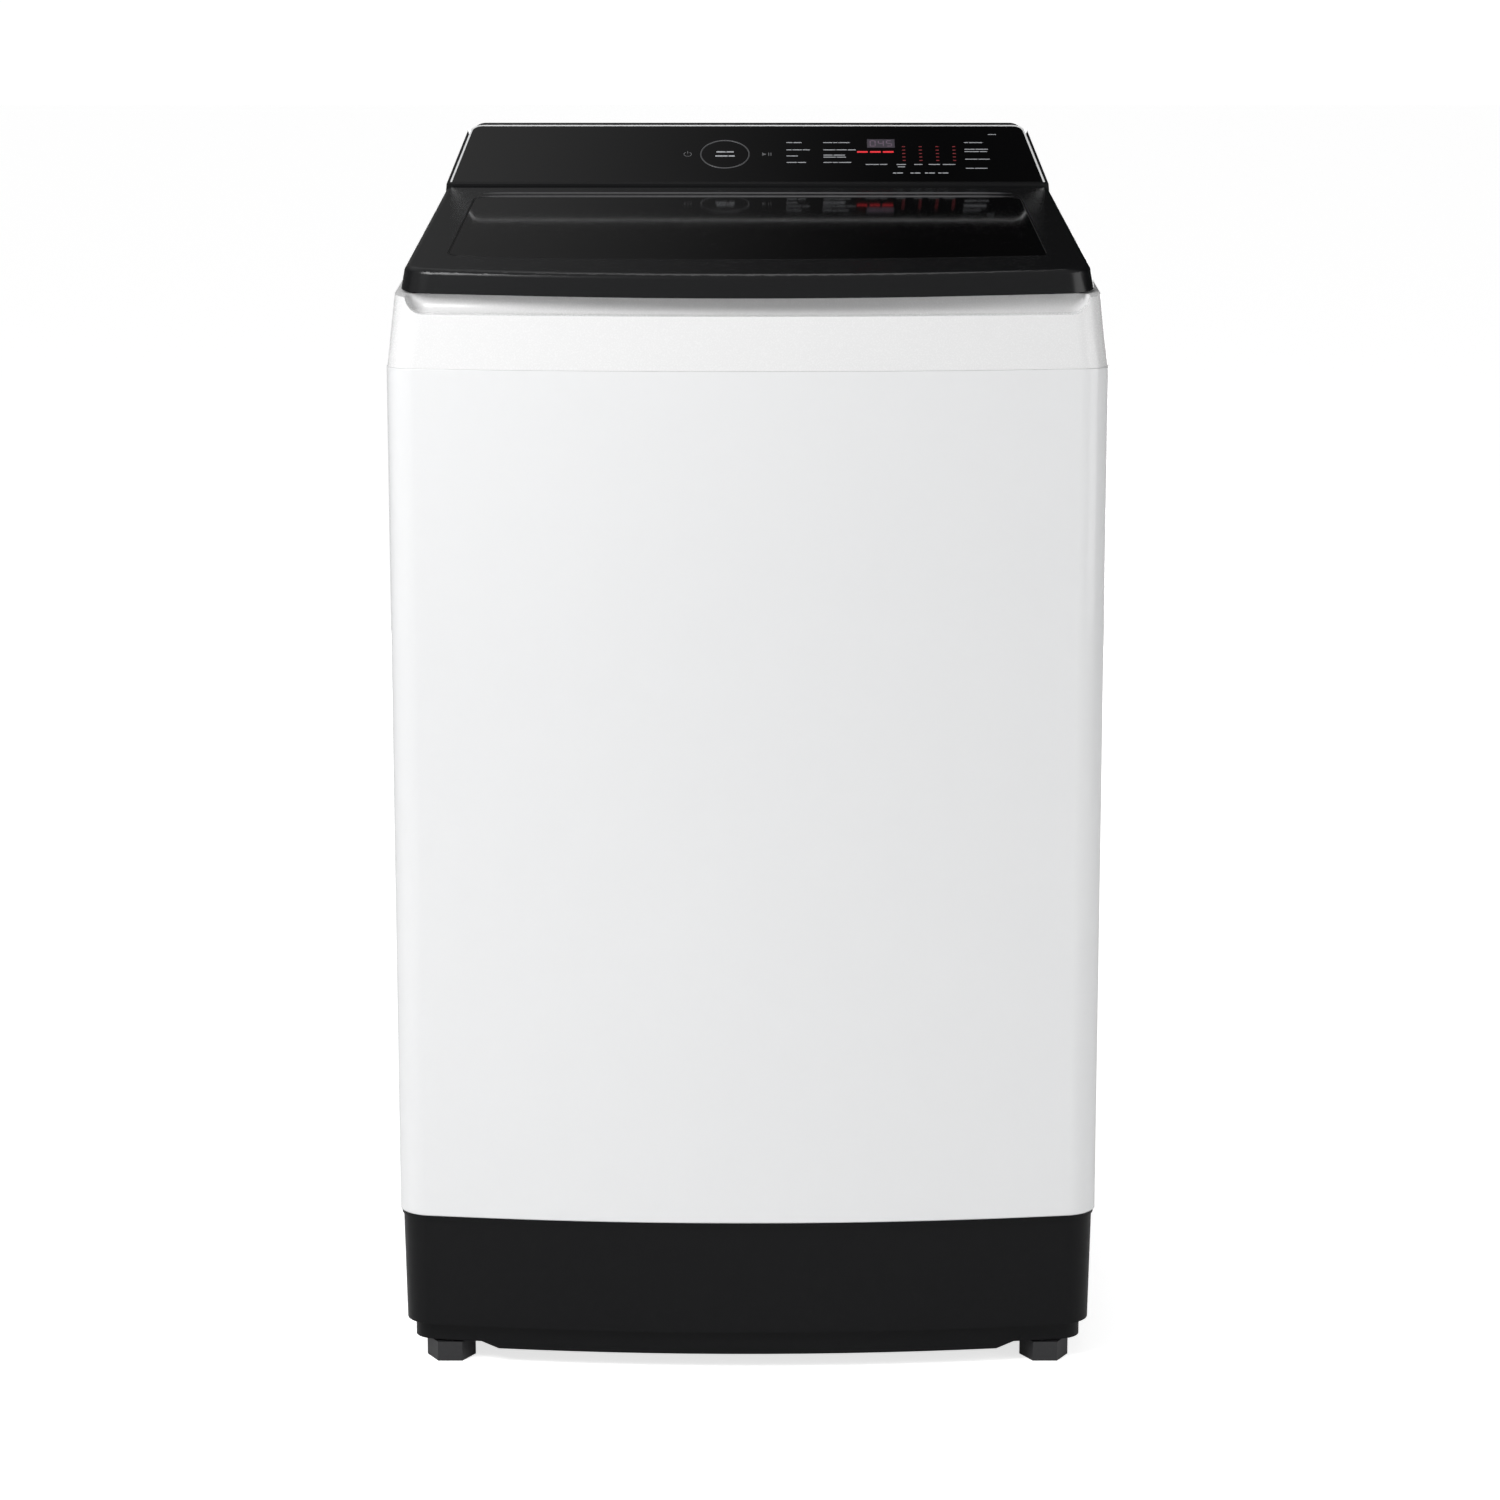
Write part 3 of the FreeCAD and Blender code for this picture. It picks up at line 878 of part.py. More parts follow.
# --- Drive under the tub ------------------------------------------------------------------------
ROTOR_Z = "(tub_low - rotor_drop)"
STATOR_Z = f"({ROTOR_Z} + 17)"
STATOR_TOP = f"({STATOR_Z} + stator_high)"
NOSE_R = "(tub_bore - 0.3)"
clutch_shell = turned("housing_turned", (
    ("bearing_radius", f"{STATOR_TOP} - 3"), ("bearing_radius + 14", f"{STATOR_TOP} - 3"),
    ("bearing_radius + 14", STATOR_TOP), ("stator_bore + 15", STATOR_TOP), ("stator_bore + 15", f"{STATOR_TOP} + 6"),
    ("bearing_radius + 14", f"{STATOR_TOP} + 6"), ("bearing_radius + 9", f"{STATOR_TOP} + 14"),
    ("bearing_radius + 9", "tub_low - 16"), ("flange_radius", "tub_low - 8"), ("flange_radius", "tub_low"),
    (NOSE_R, "tub_low"), (NOSE_R, "tub_low + 13"), ("bearing_radius", "tub_low + 13")), 0, TUB_Y)
piece("clutch_housing", cut("clutch_housing", clutch_shell, bolt_holes))
SPIN_BORE = "(wash_radius + shaft_gap)"
bearings = [hoop("bearing", "spin_radius + shaft_gap", "bearing_radius", low, f"{low} + bearing_high", 0, TUB_Y)
            for low in (f"{STATOR_TOP} - 1", "(tub_low - 6)")]
piece("shaft_bearings", group("shaft_bearings", bearings))
piece("tub_seal", hoop("tub_seal", "spin_radius + 0.1", "bearing_radius", "tub_low + 7", "tub_low + 13", 0, TUB_Y))
bolts = []
for i in range(int(value("bolt_count"))):
    shank = cylinder("bolt_shank", "bolt_radius", "tub_low - 14", "tub_low + tub_floor", "bolt_ring")
    head = prism("bolt_head", "bolt_radius * 3.25", "tub_low - 21", "tub_low - 14", "bolt_ring")
    bolts.append(turned_copy("tub_bolt", [fuse("bolt_solid", shank, head)], "bolt_count", i, 0, TUB_Y))
piece("tub_bolts", group("tub_bolts", bolts))

MAGNET_R = "(rotor_radius - rotor_wall - magnet_thick)"
STATOR_R = f"({MAGNET_R} - air_gap)"
core = hoop("stator_core", "stator_bore", STATOR_R, STATOR_Z, STATOR_TOP, 0, TUB_Y)
teeth = int(value("tooth_count"))
slots = [turned_copy("stator_slot", [box("slot_cut", ("stator_bore + 22", f"{STATOR_R} + 5"), ("-3.2", "3.2"),
                                         (f"{STATOR_Z} - 1", f"{STATOR_TOP} + 1"))], "tooth_count", i, 0, TUB_Y)
         for i in range(teeth)]
piece("motor_stator", cut("motor_stator", core, group("stator_slots", slots)))
COIL_Z = f"({STATOR_TOP} - 3)"
piece("clutch_coil", hoop("clutch_coil", "bearing_radius + 7", "bearing_radius + 22", f"{COIL_Z} - 20", COIL_Z, 0,
                          TUB_Y))
piece("clutch_sleeve", turned("clutch_sleeve", (
    ("spin_radius + 0.3", f"{COIL_Z} - 17"), ("bearing_radius + 5", f"{COIL_Z} - 17"),
    ("bearing_radius + 5", f"{COIL_Z} - 3"), ("spin_radius + 0.3", f"{COIL_Z} - 3")), 0, TUB_Y))

# --- Basket -------------------------------------------------------------------------------------
BASKET_IN = f"({BASKET_R} - basket_sheet)"
BALANCE_Z = f"({TUB_TOP} - ring_drop - ring_high)"
STEP_Z = f"({BALANCE_Z} + ring_step)"
wall = hoop("basket_wall", BASKET_IN, BASKET_R, BASKET_Z, STEP_Z, 0, TUB_Y)
bars = []
for row in range(int(value("hole_rows"))):
    for station in range(int(value("hole_pairs"))):
        height = f"{BASKET_Z} + 80 + {row} * ({BALANCE_Z} - {BASKET_Z} - 130) / (hole_rows - 1)"
        bar = cylinder("basket_hole_bar", "hole_radius", f"-{BASKET_R} - 5", f"{BASKET_R} + 5", z=height, axis="x")
        bars.append(turn(place(group("basket_holes", [bar]), 0, TUB_Y), (0, 0, 1),
                         f"180 * ({station} + 0.5) / hole_pairs"))
piece("spin_basket", cut("spin_basket", wall, group("basket_hole_bars", bars)))
piece("basket_base", turned("basket_base", (
    ("spin_radius + 2", BASKET_Z), (BASKET_IN, BASKET_Z), (BASKET_IN, f"{BASKET_Z} + 16"),
    (f"{BASKET_IN} - 1.2", f"{BASKET_Z} + 16"), (f"{BASKET_IN} - 1.2", f"{BASKET_Z} + 2"),
    ("spin_radius + 2", f"{BASKET_Z} + 2")), 0, TUB_Y))
piece("basket_hub", turned("basket_hub", (
    ("spin_radius", f"{BASKET_Z} - 16"), ("spin_radius + 20", f"{BASKET_Z} - 16"),
    ("hub_radius", f"{BASKET_Z} - 8"), ("hub_radius", BASKET_Z), ("spin_radius", BASKET_Z)), 0, TUB_Y))
RING_IN = f"({BASKET_IN} - ring_deep)"
RING_TOP = f"({TUB_TOP} - ring_drop)"
piece("balance_ring", turned("balance_ring", (
    (RING_IN, f"{BALANCE_Z} + 6"), (f"{RING_IN} + 6", BALANCE_Z), (BASKET_IN, BALANCE_Z), (BASKET_IN, STEP_Z),
    (f"{BASKET_R} + 5", STEP_Z), (f"{BASKET_R} + 5", f"{RING_TOP} - 5"), (BASKET_R, RING_TOP),
    (f"{RING_IN} + 8", RING_TOP), (RING_IN, f"{RING_TOP} - 8")), 0, TUB_Y))
piece("spin_shaft", hoop("spin_shaft", SPIN_BORE, "spin_radius", f"{COIL_Z} - 17", f"{BASKET_Z} + 6", 0, TUB_Y))

FILTER_X = f"(sqrt({BASKET_IN}^2 - (filter_wide / 2)^2) - 1)"
FILTER_Z = f"({BASKET_Z} + filter_low)"
for label, side in (("lint_filter_left", -1), ("lint_filter_right", 1)):
    def filter_x(low, high):
        pair = (f"{side} * ({low})", f"{side} * ({high})")
        return pair if side > 0 else pair[::-1]
    case = box("filter_case", filter_x(f"{FILTER_X} - filter_deep", FILTER_X),
               (f"{TUB_Y} - filter_wide / 2", f"{TUB_Y} + filter_wide / 2"), (FILTER_Z, f"{FILTER_Z} + filter_high"))
    room = box("filter_room", filter_x(f"{FILTER_X} - filter_deep + 2", f"{FILTER_X} + 1"),
               (f"{TUB_Y} - filter_wide / 2 + 3", f"{TUB_Y} + filter_wide / 2 - 3"),
               (f"{FILTER_Z} + 6", f"{FILTER_Z} + filter_high - 6"))
    slots = [box("filter_slot", filter_x(f"{FILTER_X} - filter_deep - 1", f"{FILTER_X} - filter_deep + 3"),
                 (f"{TUB_Y} - filter_wide / 2 + 12", f"{TUB_Y} + filter_wide / 2 - 12"),
                 (f"{FILTER_Z} + 20 + {i} * (filter_high - 40) / 9",
                  f"{FILTER_Z} + 20 + {i} * (filter_high - 40) / 9 + (filter_high - 40) / 18")) for i in range(9)]
    piece(label, cut(label, case, room, *slots))

# --- Pulsator and motor rotor -------------------------------------------------------------------
BOWL_R = f"({BASKET_R} - bowl_gap)"
BOWL_Z = f"({BASKET_Z} + bowl_low)"
bowl = turned("bowl_turned", (
    ("wash_radius", f"{BASKET_Z} + 12"), ("wash_radius + 16", f"{BASKET_Z} + 12"), ("wash_radius + 20", f"{BASKET_Z} + 18"),
    ("60", f"{BASKET_Z} + 16"), (f"{BOWL_R} - 6", f"{BOWL_Z} - 12"), (BOWL_R, f"{BOWL_Z} - 4"),
    (BOWL_R, BOWL_Z), (f"{BOWL_R} - 5", BOWL_Z), (f"{BOWL_R} - 12", f"{BOWL_Z} - 7"), ("64", f"{BASKET_Z} + 21"),
    ("40", f"{BASKET_Z} + 36"), ("wash_radius + 10", f"{BASKET_Z} + 42"), ("wash_radius", f"{BASKET_Z} + 42")), 0, TUB_Y)
vanes = []
for i in range(int(value("blade_count"))):
    vane = pad("vane", "XZ", (("34", f"{BASKET_Z} + 20"), (f"{BOWL_R} - 10", f"{BOWL_Z} - 10"),
                              (f"{BOWL_R} - 14", BOWL_Z), (f"{BOWL_R} - 60", f"{BOWL_Z} + 6"),
                              ("70", f"{BASKET_Z} + 44"), ("34", f"{BASKET_Z} + 40")),
               "-blade_wide / 2", "blade_wide / 2")
    vanes.append(turned_copy("vane_set", [vane], "blade_count", i, 0, TUB_Y))
piece("pulsator", fuse("pulsator", bowl, *vanes))
piece("pulsator_cap", turned("pulsator_cap", (("0", f"{BASKET_Z} + 42"), ("26", f"{BASKET_Z} + 42"),
                                              ("24", f"{BASKET_Z} + 48"), ("12", f"{BASKET_Z} + 52"),
                                              ("0", f"{BASKET_Z} + 53")), 0, TUB_Y))
piece("wash_shaft", cylinder("wash_shaft", "wash_radius", f"{ROTOR_Z} - 6", f"{BASKET_Z} + 42", 0, TUB_Y))
HUB_TOP = f"({COIL_Z} - 17 - bolt_travel - 0.4)"
piece("motor_rotor", turned("motor_rotor", (
    ("wash_radius", ROTOR_Z), ("rotor_radius", ROTOR_Z), ("rotor_radius", f"{ROTOR_Z} + rotor_high"),
    ("rotor_radius - rotor_wall", f"{ROTOR_Z} + rotor_high"), ("rotor_radius - rotor_wall", f"{ROTOR_Z} + 3.5"),
    ("wash_radius + 16", f"{ROTOR_Z} + 3.5"), ("wash_radius + 16", HUB_TOP), ("wash_radius", HUB_TOP)), 0, TUB_Y))
piece("rotor_magnets", hoop("rotor_magnets", MAGNET_R, "rotor_radius - rotor_wall", f"{STATOR_Z} - 1",
                            f"{STATOR_TOP} + 1", 0, TUB_Y))

# --- Drain: bellows under the tub, pump on the base, tube to the outlet -------------------------
AXIS_Z = "(shelf_z + 4 + pump_radius)"
PUMP_Y = ("pump_y", "(pump_y + pump_long)")


def pump_bar(name, radius, low, high, x="drain_x", z=AXIS_Z):
    return cylinder(name, radius, low, high, x=x, z=z, axis="y")


ELBOW_TOP = f"({AXIS_Z} + 30)"
casing = fuse("pump_casing", pump_bar("volute", "pump_radius", *PUMP_Y),
              pump_bar("pump_motor", "pump_radius * 0.7", PUMP_Y[1], f"{PUMP_Y[1]} + 52"),
              pump_bar("inlet_stub", "drain_bore + drain_wall", "drain_y", "pump_y + 5"),
              cylinder("elbow_riser", "drain_bore + drain_wall", f"{AXIS_Z} - drain_bore - 2.5", ELBOW_TOP, "drain_x",
                       "drain_y"),
              cylinder("discharge_stub", "tube_radius", "drain_x", "outlet_x - tube_radius - 4", y="pump_y + 17",
                       z=f"{AXIS_Z} + outlet_rise", axis="x"),
              box("pump_foot", ("drain_x - 30", "drain_x + 30"), ("pump_y + 4", "pump_y + pump_long + 40"),
                  ("shelf_z", "shelf_z + 14")))
rooms = (pump_bar("volute_room", "pump_radius - pump_wall", "pump_y + pump_wall", "pump_y + pump_long - pump_wall"),
         pump_bar("inlet_bore", "drain_bore", "drain_y", "pump_y + pump_wall + 1"),
         cylinder("riser_bore", "drain_bore", f"{AXIS_Z} - 10", f"{ELBOW_TOP} + 1", "drain_x", "drain_y"),
         cylinder("discharge_bore", "tube_bore", "drain_x + 8", "outlet_x", y="pump_y + 17",
                  z=f"{AXIS_Z} + outlet_rise", axis="x"))
piece("drain_pump", cut("drain_pump", casing, *rooms))
wheel = [pump_bar("impeller_hub", "9", "pump_y + pump_wall + 2", "pump_y + pump_long - pump_wall - 1")]
for i in range(3):
    blade = box("impeller_blade", (f"wash_radius + 2 - pump_radius", "pump_radius - wash_radius - 2"),
                ("pump_y + pump_wall + 4", "pump_y + pump_long - pump_wall - 3"), ("-1.2", "1.2"))
    wheel.append(turn(place(group("impeller_vane", [blade]), "drain_x", 0, AXIS_Z), (0, 1, 0), f"60 * {i} + 1"))
piece("pump_impeller", fuse("pump_impeller", *wheel))

TUBE_Z = f"({AXIS_Z} + outlet_rise)"
TUBE_Y = "(pump_y + 17)"
tube_solid = fuse("tube_solid", cylinder("tube_side", "tube_radius", "outlet_x - tube_radius - 4", "outlet_x",
                                         y=TUBE_Y, z=TUBE_Z, axis="x"),
                  pump_bar("tube_run", "tube_radius", TUBE_Y, f"{BACK} - 22", "outlet_x", TUBE_Z))
ball = doc.addObject("Part::Sphere", "tube_elbow")
bind(ball, "Radius", "tube_radius + 1")
place(ball, "outlet_x", TUBE_Y, TUBE_Z)
tube_bores = (cylinder("tube_side_bore", "tube_bore", "outlet_x - tube_radius - 5", "outlet_x + 5", y=TUBE_Y, z=TUBE_Z,
                       axis="x"), pump_bar("tube_run_bore", "tube_bore + 0.2", f"{TUBE_Y} - 5.5", f"{BACK} - 20",
                                           "outlet_x", TUBE_Z))
piece("discharge_tube", cut("discharge_tube", fuse("tube_joined", tube_solid, ball), *tube_bores))
outlet_solid = fuse("outlet_solid", pump_bar("outlet_pipe", "tube_radius", f"{BACK} - 22", "overall_depth / 2 - 1",
                                             "outlet_x", TUBE_Z),
                    pump_bar("outlet_collar", "tube_radius + 7", f"{BACK} - base_inset_high", f"{BACK} + 2",
                             "outlet_x", TUBE_Z))
piece("drain_outlet", cut("drain_outlet", outlet_solid,
                          pump_bar("outlet_bore", "tube_bore", f"{BACK} - 25", "overall_depth / 2", "outlet_x", TUBE_Z)))

folds = []
FOLDS = 5
BELLOWS_TOP = "(tub_low - 14)"
for i in range(2 * FOLDS + 1):
    radius = "drain_bore + drain_wall + 3" if i % 2 == 0 else "drain_bore + drain_wall + 7"
    folds.append((radius, f"{ELBOW_TOP} + {i} * ({BELLOWS_TOP} - {ELBOW_TOP}) / {2 * FOLDS}"))
inner = [("drain_bore + drain_wall + 0.5", BELLOWS_TOP), ("drain_bore + drain_wall + 0.5", ELBOW_TOP)]
piece("drain_bellows", turned("drain_bellows", (*folds, *inner), "drain_x", "drain_y"))

# --- Check and save -----------------------------------------------------------------------------
doc.recompute()
broken = [item.Name for item in doc.Objects if {"Invalid", "Error"} & set(item.State)]
if broken:
    raise RuntimeError(f"not built: {broken}")
os.makedirs("parts", exist_ok=True)
for label, item in PIECES.items():
    if item.Shape.isNull() or not item.Shape.isValid():
        raise RuntimeError(f"{label} has no valid shape")
    item.Shape.exportStep(f"parts/{label}.step")
print(len(PIECES), "pieces saved")
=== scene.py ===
import json
import math

import bpy
import numpy as np
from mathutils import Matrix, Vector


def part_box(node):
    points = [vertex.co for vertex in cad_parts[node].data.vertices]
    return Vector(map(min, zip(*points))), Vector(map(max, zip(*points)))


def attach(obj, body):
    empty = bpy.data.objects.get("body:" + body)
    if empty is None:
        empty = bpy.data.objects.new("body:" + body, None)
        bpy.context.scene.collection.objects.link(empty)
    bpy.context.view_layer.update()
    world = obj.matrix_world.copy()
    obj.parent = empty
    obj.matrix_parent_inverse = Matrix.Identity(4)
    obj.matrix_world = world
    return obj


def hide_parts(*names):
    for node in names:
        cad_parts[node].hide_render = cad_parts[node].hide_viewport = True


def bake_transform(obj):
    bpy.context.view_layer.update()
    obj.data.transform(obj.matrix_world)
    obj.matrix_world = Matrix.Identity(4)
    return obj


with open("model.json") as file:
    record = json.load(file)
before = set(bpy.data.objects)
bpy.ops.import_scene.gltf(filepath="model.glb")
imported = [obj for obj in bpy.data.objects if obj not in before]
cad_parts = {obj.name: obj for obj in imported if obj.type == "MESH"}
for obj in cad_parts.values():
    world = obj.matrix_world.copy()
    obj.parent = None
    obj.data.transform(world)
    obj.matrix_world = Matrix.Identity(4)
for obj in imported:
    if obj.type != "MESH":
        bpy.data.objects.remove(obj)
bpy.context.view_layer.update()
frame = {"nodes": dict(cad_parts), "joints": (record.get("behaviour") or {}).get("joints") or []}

# --- Camera, floor and lights -------------------------------------------------------------------
# A long lens looks straight at the front from just above the top of the machine, tipped down to its
# middle. The pale floor and the soft lights are the studio's, not the object's.
scene = bpy.context.scene
scene.view_settings.view_transform = "Standard"
camera_data = bpy.data.cameras.new("camera")
camera_data.lens = 94.26
camera_data.sensor_width = 36
camera_data.shift_x = 0.0016
camera_data.shift_y = -0.04
camera = bpy.data.objects.new("camera", camera_data)
camera.location = (0, -3.6, 1.215)
camera.rotation_euler = (math.radians(90 - 10.55), 0, 0)
scene.collection.objects.link(camera)
scene.camera = camera


def soft_light(name, place, aim, size, watts):
    """A square lamp at a place, turned to face a point."""
    lamp = bpy.data.lights.new(name, "AREA")
    lamp.shape = "RECTANGLE"
    lamp.size, lamp.size_y = size
    lamp.energy = watts
    item = bpy.data.objects.new(name, lamp)
    item.location = place
    item.rotation_euler = (item.location - Vector(aim)).to_track_quat("Z", "Y").to_euler()
    scene.collection.objects.link(item)
    return item


soft_light("key_light", (-1.5, -1.7, 2.2), (-0.2, -0.3, 0.9), (1.1, 1.1), 50)
soft_light("fill_light", (2.6, -1.1, 1.2), (0.25, 0, 0.6), (1.6, 2.0), 20)
soft_light("back_light", (0.4, 3.4, 0.5), (0, 0.3, 0.5), (2.6, 0.9), 30)
soft_light("top_light", (0.05, 0.15, 3.3), (0, 0.1, 1), (1.2, 1.2), 10)

# The studio round it: a pale room in front, and behind it a dark wall and a ceiling that both fall
# off from left to right, which is what the gloss black faces mirror. The camera sees plain white.
world = bpy.data.worlds.new("studio")
scene.world = world
world.use_nodes = True
sky = world.node_tree
sky.nodes.clear()
sky_place = sky.nodes.new("ShaderNodeTexCoord")
sky_axes = sky.nodes.new("ShaderNodeSeparateXYZ")
sky.links.new(sky_place.outputs["Generated"], sky_axes.inputs["Vector"])


def sky_ramp(axis, start, end, low, high):
    """A value that runs from low to high as one part of the direction runs from start to end."""
    ramp = sky.nodes.new("ShaderNodeMapRange")
    ramp.interpolation_type = "SMOOTHSTEP"
    for socket, value in zip(("From Min", "From Max", "To Min", "To Max"), (start, end, low, high)):
        ramp.inputs[socket].default_value = value
    sky.links.new(sky_axes.outputs[axis], ramp.inputs["Value"])
    return ramp.outputs["Result"]


def sky_blend(factor, first, second):
    """Mixes two values of the sky's strength."""
    mix = sky.nodes.new("ShaderNodeMix")
    for socket, value in (("Factor", factor), ("A", first), ("B", second)):
        sky.links.new(value, mix.inputs[socket])
    return mix.outputs["Result"]


back_wall = sky_ramp("X", -0.14, 0.05, 0.11, 0.004)
ceiling = sky_ramp("X", -0.12, 0.05, 0.60, 0.012)
room = sky_ramp("X", -0.9, 0.8, 0.57, 0.47)
behind = sky_blend(sky_ramp("Z", 0.34, 0.75, 0, 1), back_wall, ceiling)
strength = sky_blend(sky_ramp("Y", -0.15, 0.25, 0, 1), room, behind)
sky_dim = sky.nodes.new("ShaderNodeBackground")
sky.links.new(strength, sky_dim.inputs["Strength"])
sky_white = sky.nodes.new("ShaderNodeBackground")
sky_white.inputs["Color"].default_value = (1, 1, 1, 1)
sky_white.inputs["Strength"].default_value = 1.05
sky_ray = sky.nodes.new("ShaderNodeLightPath")
sky_choice = sky.nodes.new("ShaderNodeMixShader")
sky_out = sky.nodes.new("ShaderNodeOutputWorld")
sky.links.new(sky_ray.outputs["Is Camera Ray"], sky_choice.inputs["Fac"])
sky.links.new(sky_dim.outputs["Background"], sky_choice.inputs[1])
sky.links.new(sky_white.outputs["Background"], sky_choice.inputs[2])
sky.links.new(sky_choice.outputs["Shader"], sky_out.inputs["Surface"])


def sheet_mesh(name, points, close_u=False, close_v=False, flip=False):
    """A surface through a grid of points (rows, columns, 3). Row i and column j join to the next
    row and column, and round to the first one where that way is closed."""
    rows, columns = points.shape[:2]
    index = np.arange(rows * columns).reshape(rows, columns)
    if close_u:
        index = np.vstack([index, index[:1]])
    if close_v:
        index = np.hstack([index, index[:, :1]])
    corners = [index[:-1, :-1], index[:-1, 1:], index[1:, 1:], index[1:, :-1]]
    quads = np.stack(corners, axis=-1).reshape(-1, 4)
    if flip:
        quads = quads[:, ::-1]
    mesh = bpy.data.meshes.new(name)
    mesh.from_pydata(points.reshape(-1, 3).tolist(), [], quads.tolist())
    mesh.polygons.foreach_set("use_smooth", np.ones(len(quads), bool))
    item = bpy.data.objects.new(name, mesh)
    scene.collection.objects.link(item)
    return item


floor_u, floor_v = np.meshgrid(np.linspace(-30, 30, 3), np.linspace(-30, 30, 3), indexing="ij")
floor = sheet_mesh("floor", np.stack([floor_u, floor_v, floor_u * 0 - 0.0002], axis=-1), flip=True)
floor_paint = bpy.data.materials.new("pale_floor")
floor_paint.use_nodes = True
floor_shader = floor_paint.node_tree.nodes["Principled BSDF"]
floor_shader.inputs["Base Color"].default_value = (0.93, 0.93, 0.93, 1)
floor_shader.inputs["Roughness"].default_value = 0.9
floor_shader.inputs["Emission Color"].default_value = (1, 1, 1, 1)
floor_ray = floor_paint.node_tree.nodes.new("ShaderNodeLightPath")
floor_glow = floor_paint.node_tree.nodes.new("ShaderNodeMapRange")
floor_glow.inputs["To Min"].default_value = 0.06
floor_glow.inputs["To Max"].default_value = 0.72
floor_paint.node_tree.links.new(floor_ray.outputs["Is Camera Ray"], floor_glow.inputs["Value"])
floor_paint.node_tree.links.new(floor_glow.outputs["Result"], floor_shader.inputs["Emission Strength"])
floor.data.materials.append(floor_paint)


# --- Painted cabinet sheet ----------------------------------------------------------------------
# One sheet of steel wraps the front and both sides, its front pressed into a slight bow. It is
# coated in white gloss enamel, whose skin has a faint orange-peel waviness.
def make_surface_group():
    """Shader group of a plain finish: two slow noises mix a pair of near colours, a fast one varies
    the roughness and lifts the surface. Stretch multiplies the place before each noise is read."""
    group = bpy.data.node_groups.new("surface_finish", "ShaderNodeTree")
    face = group.interface
    for label, kind, value in (
            ("Base", "NodeSocketColor", (0.5, 0.5, 0.5, 1)), ("Other", "NodeSocketColor", (0.5, 0.5, 0.5, 1)),
            ("Stretch", "NodeSocketVector", (1, 1, 1)), ("Cloud Scale", "NodeSocketFloat", 6),
            ("Grain Scale", "NodeSocketFloat", 900), ("Grain Height", "NodeSocketFloat", 0.1),
            ("Rough Low", "NodeSocketFloat", 0.3), ("Rough High", "NodeSocketFloat", 0.4)):
        face.new_socket(label, in_out="INPUT", socket_type=kind).default_value = value
    for label, kind in (("Color", "NodeSocketColor"), ("Roughness", "NodeSocketFloat"),
                        ("Normal", "NodeSocketVector")):
        face.new_socket(label, in_out="OUTPUT", socket_type=kind)
    nodes, links = group.nodes, group.links
    given, out = nodes.new("NodeGroupInput"), nodes.new("NodeGroupOutput")
    where, stretch = nodes.new("ShaderNodeTexCoord"), nodes.new("ShaderNodeVectorMath")
    stretch.operation = "MULTIPLY"
    cloud, grain = nodes.new("ShaderNodeTexNoise"), nodes.new("ShaderNodeTexNoise")
    cloud.inputs["Detail"].default_value = 3
    grain.inputs["Detail"].default_value = 2
    blend, rough = nodes.new("ShaderNodeMix"), nodes.new("ShaderNodeMapRange")
    bump = nodes.new("ShaderNodeBump")
    blend.data_type = "RGBA"
    bump.inputs["Distance"].default_value = 0.0002
    links.new(where.outputs["Object"], stretch.inputs[0])
    links.new(given.outputs["Stretch"], stretch.inputs[1])
    for noise, scale in ((cloud, "Cloud Scale"), (grain, "Grain Scale")):
        links.new(stretch.outputs["Vector"], noise.inputs["Vector"])
        links.new(given.outputs[scale], noise.inputs["Scale"])
    links.new(cloud.outputs["Fac"], blend.inputs["Factor"])
    links.new(given.outputs["Base"], blend.inputs["A"])
    links.new(given.outputs["Other"], blend.inputs["B"])
    links.new(grain.outputs["Fac"], rough.inputs["Value"])
    links.new(given.outputs["Rough Low"], rough.inputs["To Min"])
    links.new(given.outputs["Rough High"], rough.inputs["To Max"])
    links.new(grain.outputs["Fac"], bump.inputs["Height"])
    links.new(given.outputs["Grain Height"], bump.inputs["Strength"])
    links.new(blend.outputs["Result"], out.inputs["Color"])
    links.new(rough.outputs["Result"], out.inputs["Roughness"])
    links.new(bump.outputs["Normal"], out.inputs["Normal"])
    return group


SURFACE = make_surface_group()


def finish(name, base, other, rough, grain=(900, 0.1), cloud=6, stretch=(1, 1, 1), **sockets):
    """A material whose colour, roughness and normal come from the surface_finish group."""
    material = bpy.data.materials.new(name)
    material.use_nodes = True
    tree = material.node_tree
    shader = tree.nodes["Principled BSDF"]
    skin = tree.nodes.new("ShaderNodeGroup")
    skin.node_tree = SURFACE
    for label, value in (("Base", (*base, 1)), ("Other", (*other, 1)), ("Stretch", stretch),
                         ("Cloud Scale", cloud), ("Grain Scale", grain[0]), ("Grain Height", grain[1]),
                         ("Rough Low", rough[0]), ("Rough High", rough[1])):
        skin.inputs[label].default_value = value
    for output, socket in (("Color", "Base Color"), ("Roughness", "Roughness"), ("Normal", "Normal")):
        tree.links.new(skin.outputs[output], shader.inputs[socket])
    for socket, value in sockets.items():
        shader.inputs[socket.replace("_", " ")].default_value = value
    return material


def soften(item, edge):
    """Rounds a piece's sharp edges by a small radius, which catches the light as moulded ones do."""
    joined = item.modifiers.new("joined", "WELD")
    joined.merge_threshold = 0.00001
    rounding = item.modifiers.new("rounded_edges", "BEVEL")
    rounding.width = edge
    rounding.segments = 3
    rounding.limit_method = "ANGLE"
    rounding.angle_limit = math.radians(32)
    rounding.harden_normals = True
    even = item.modifiers.new("even_shading", "WEIGHTED_NORMAL")
    even.keep_sharp = True


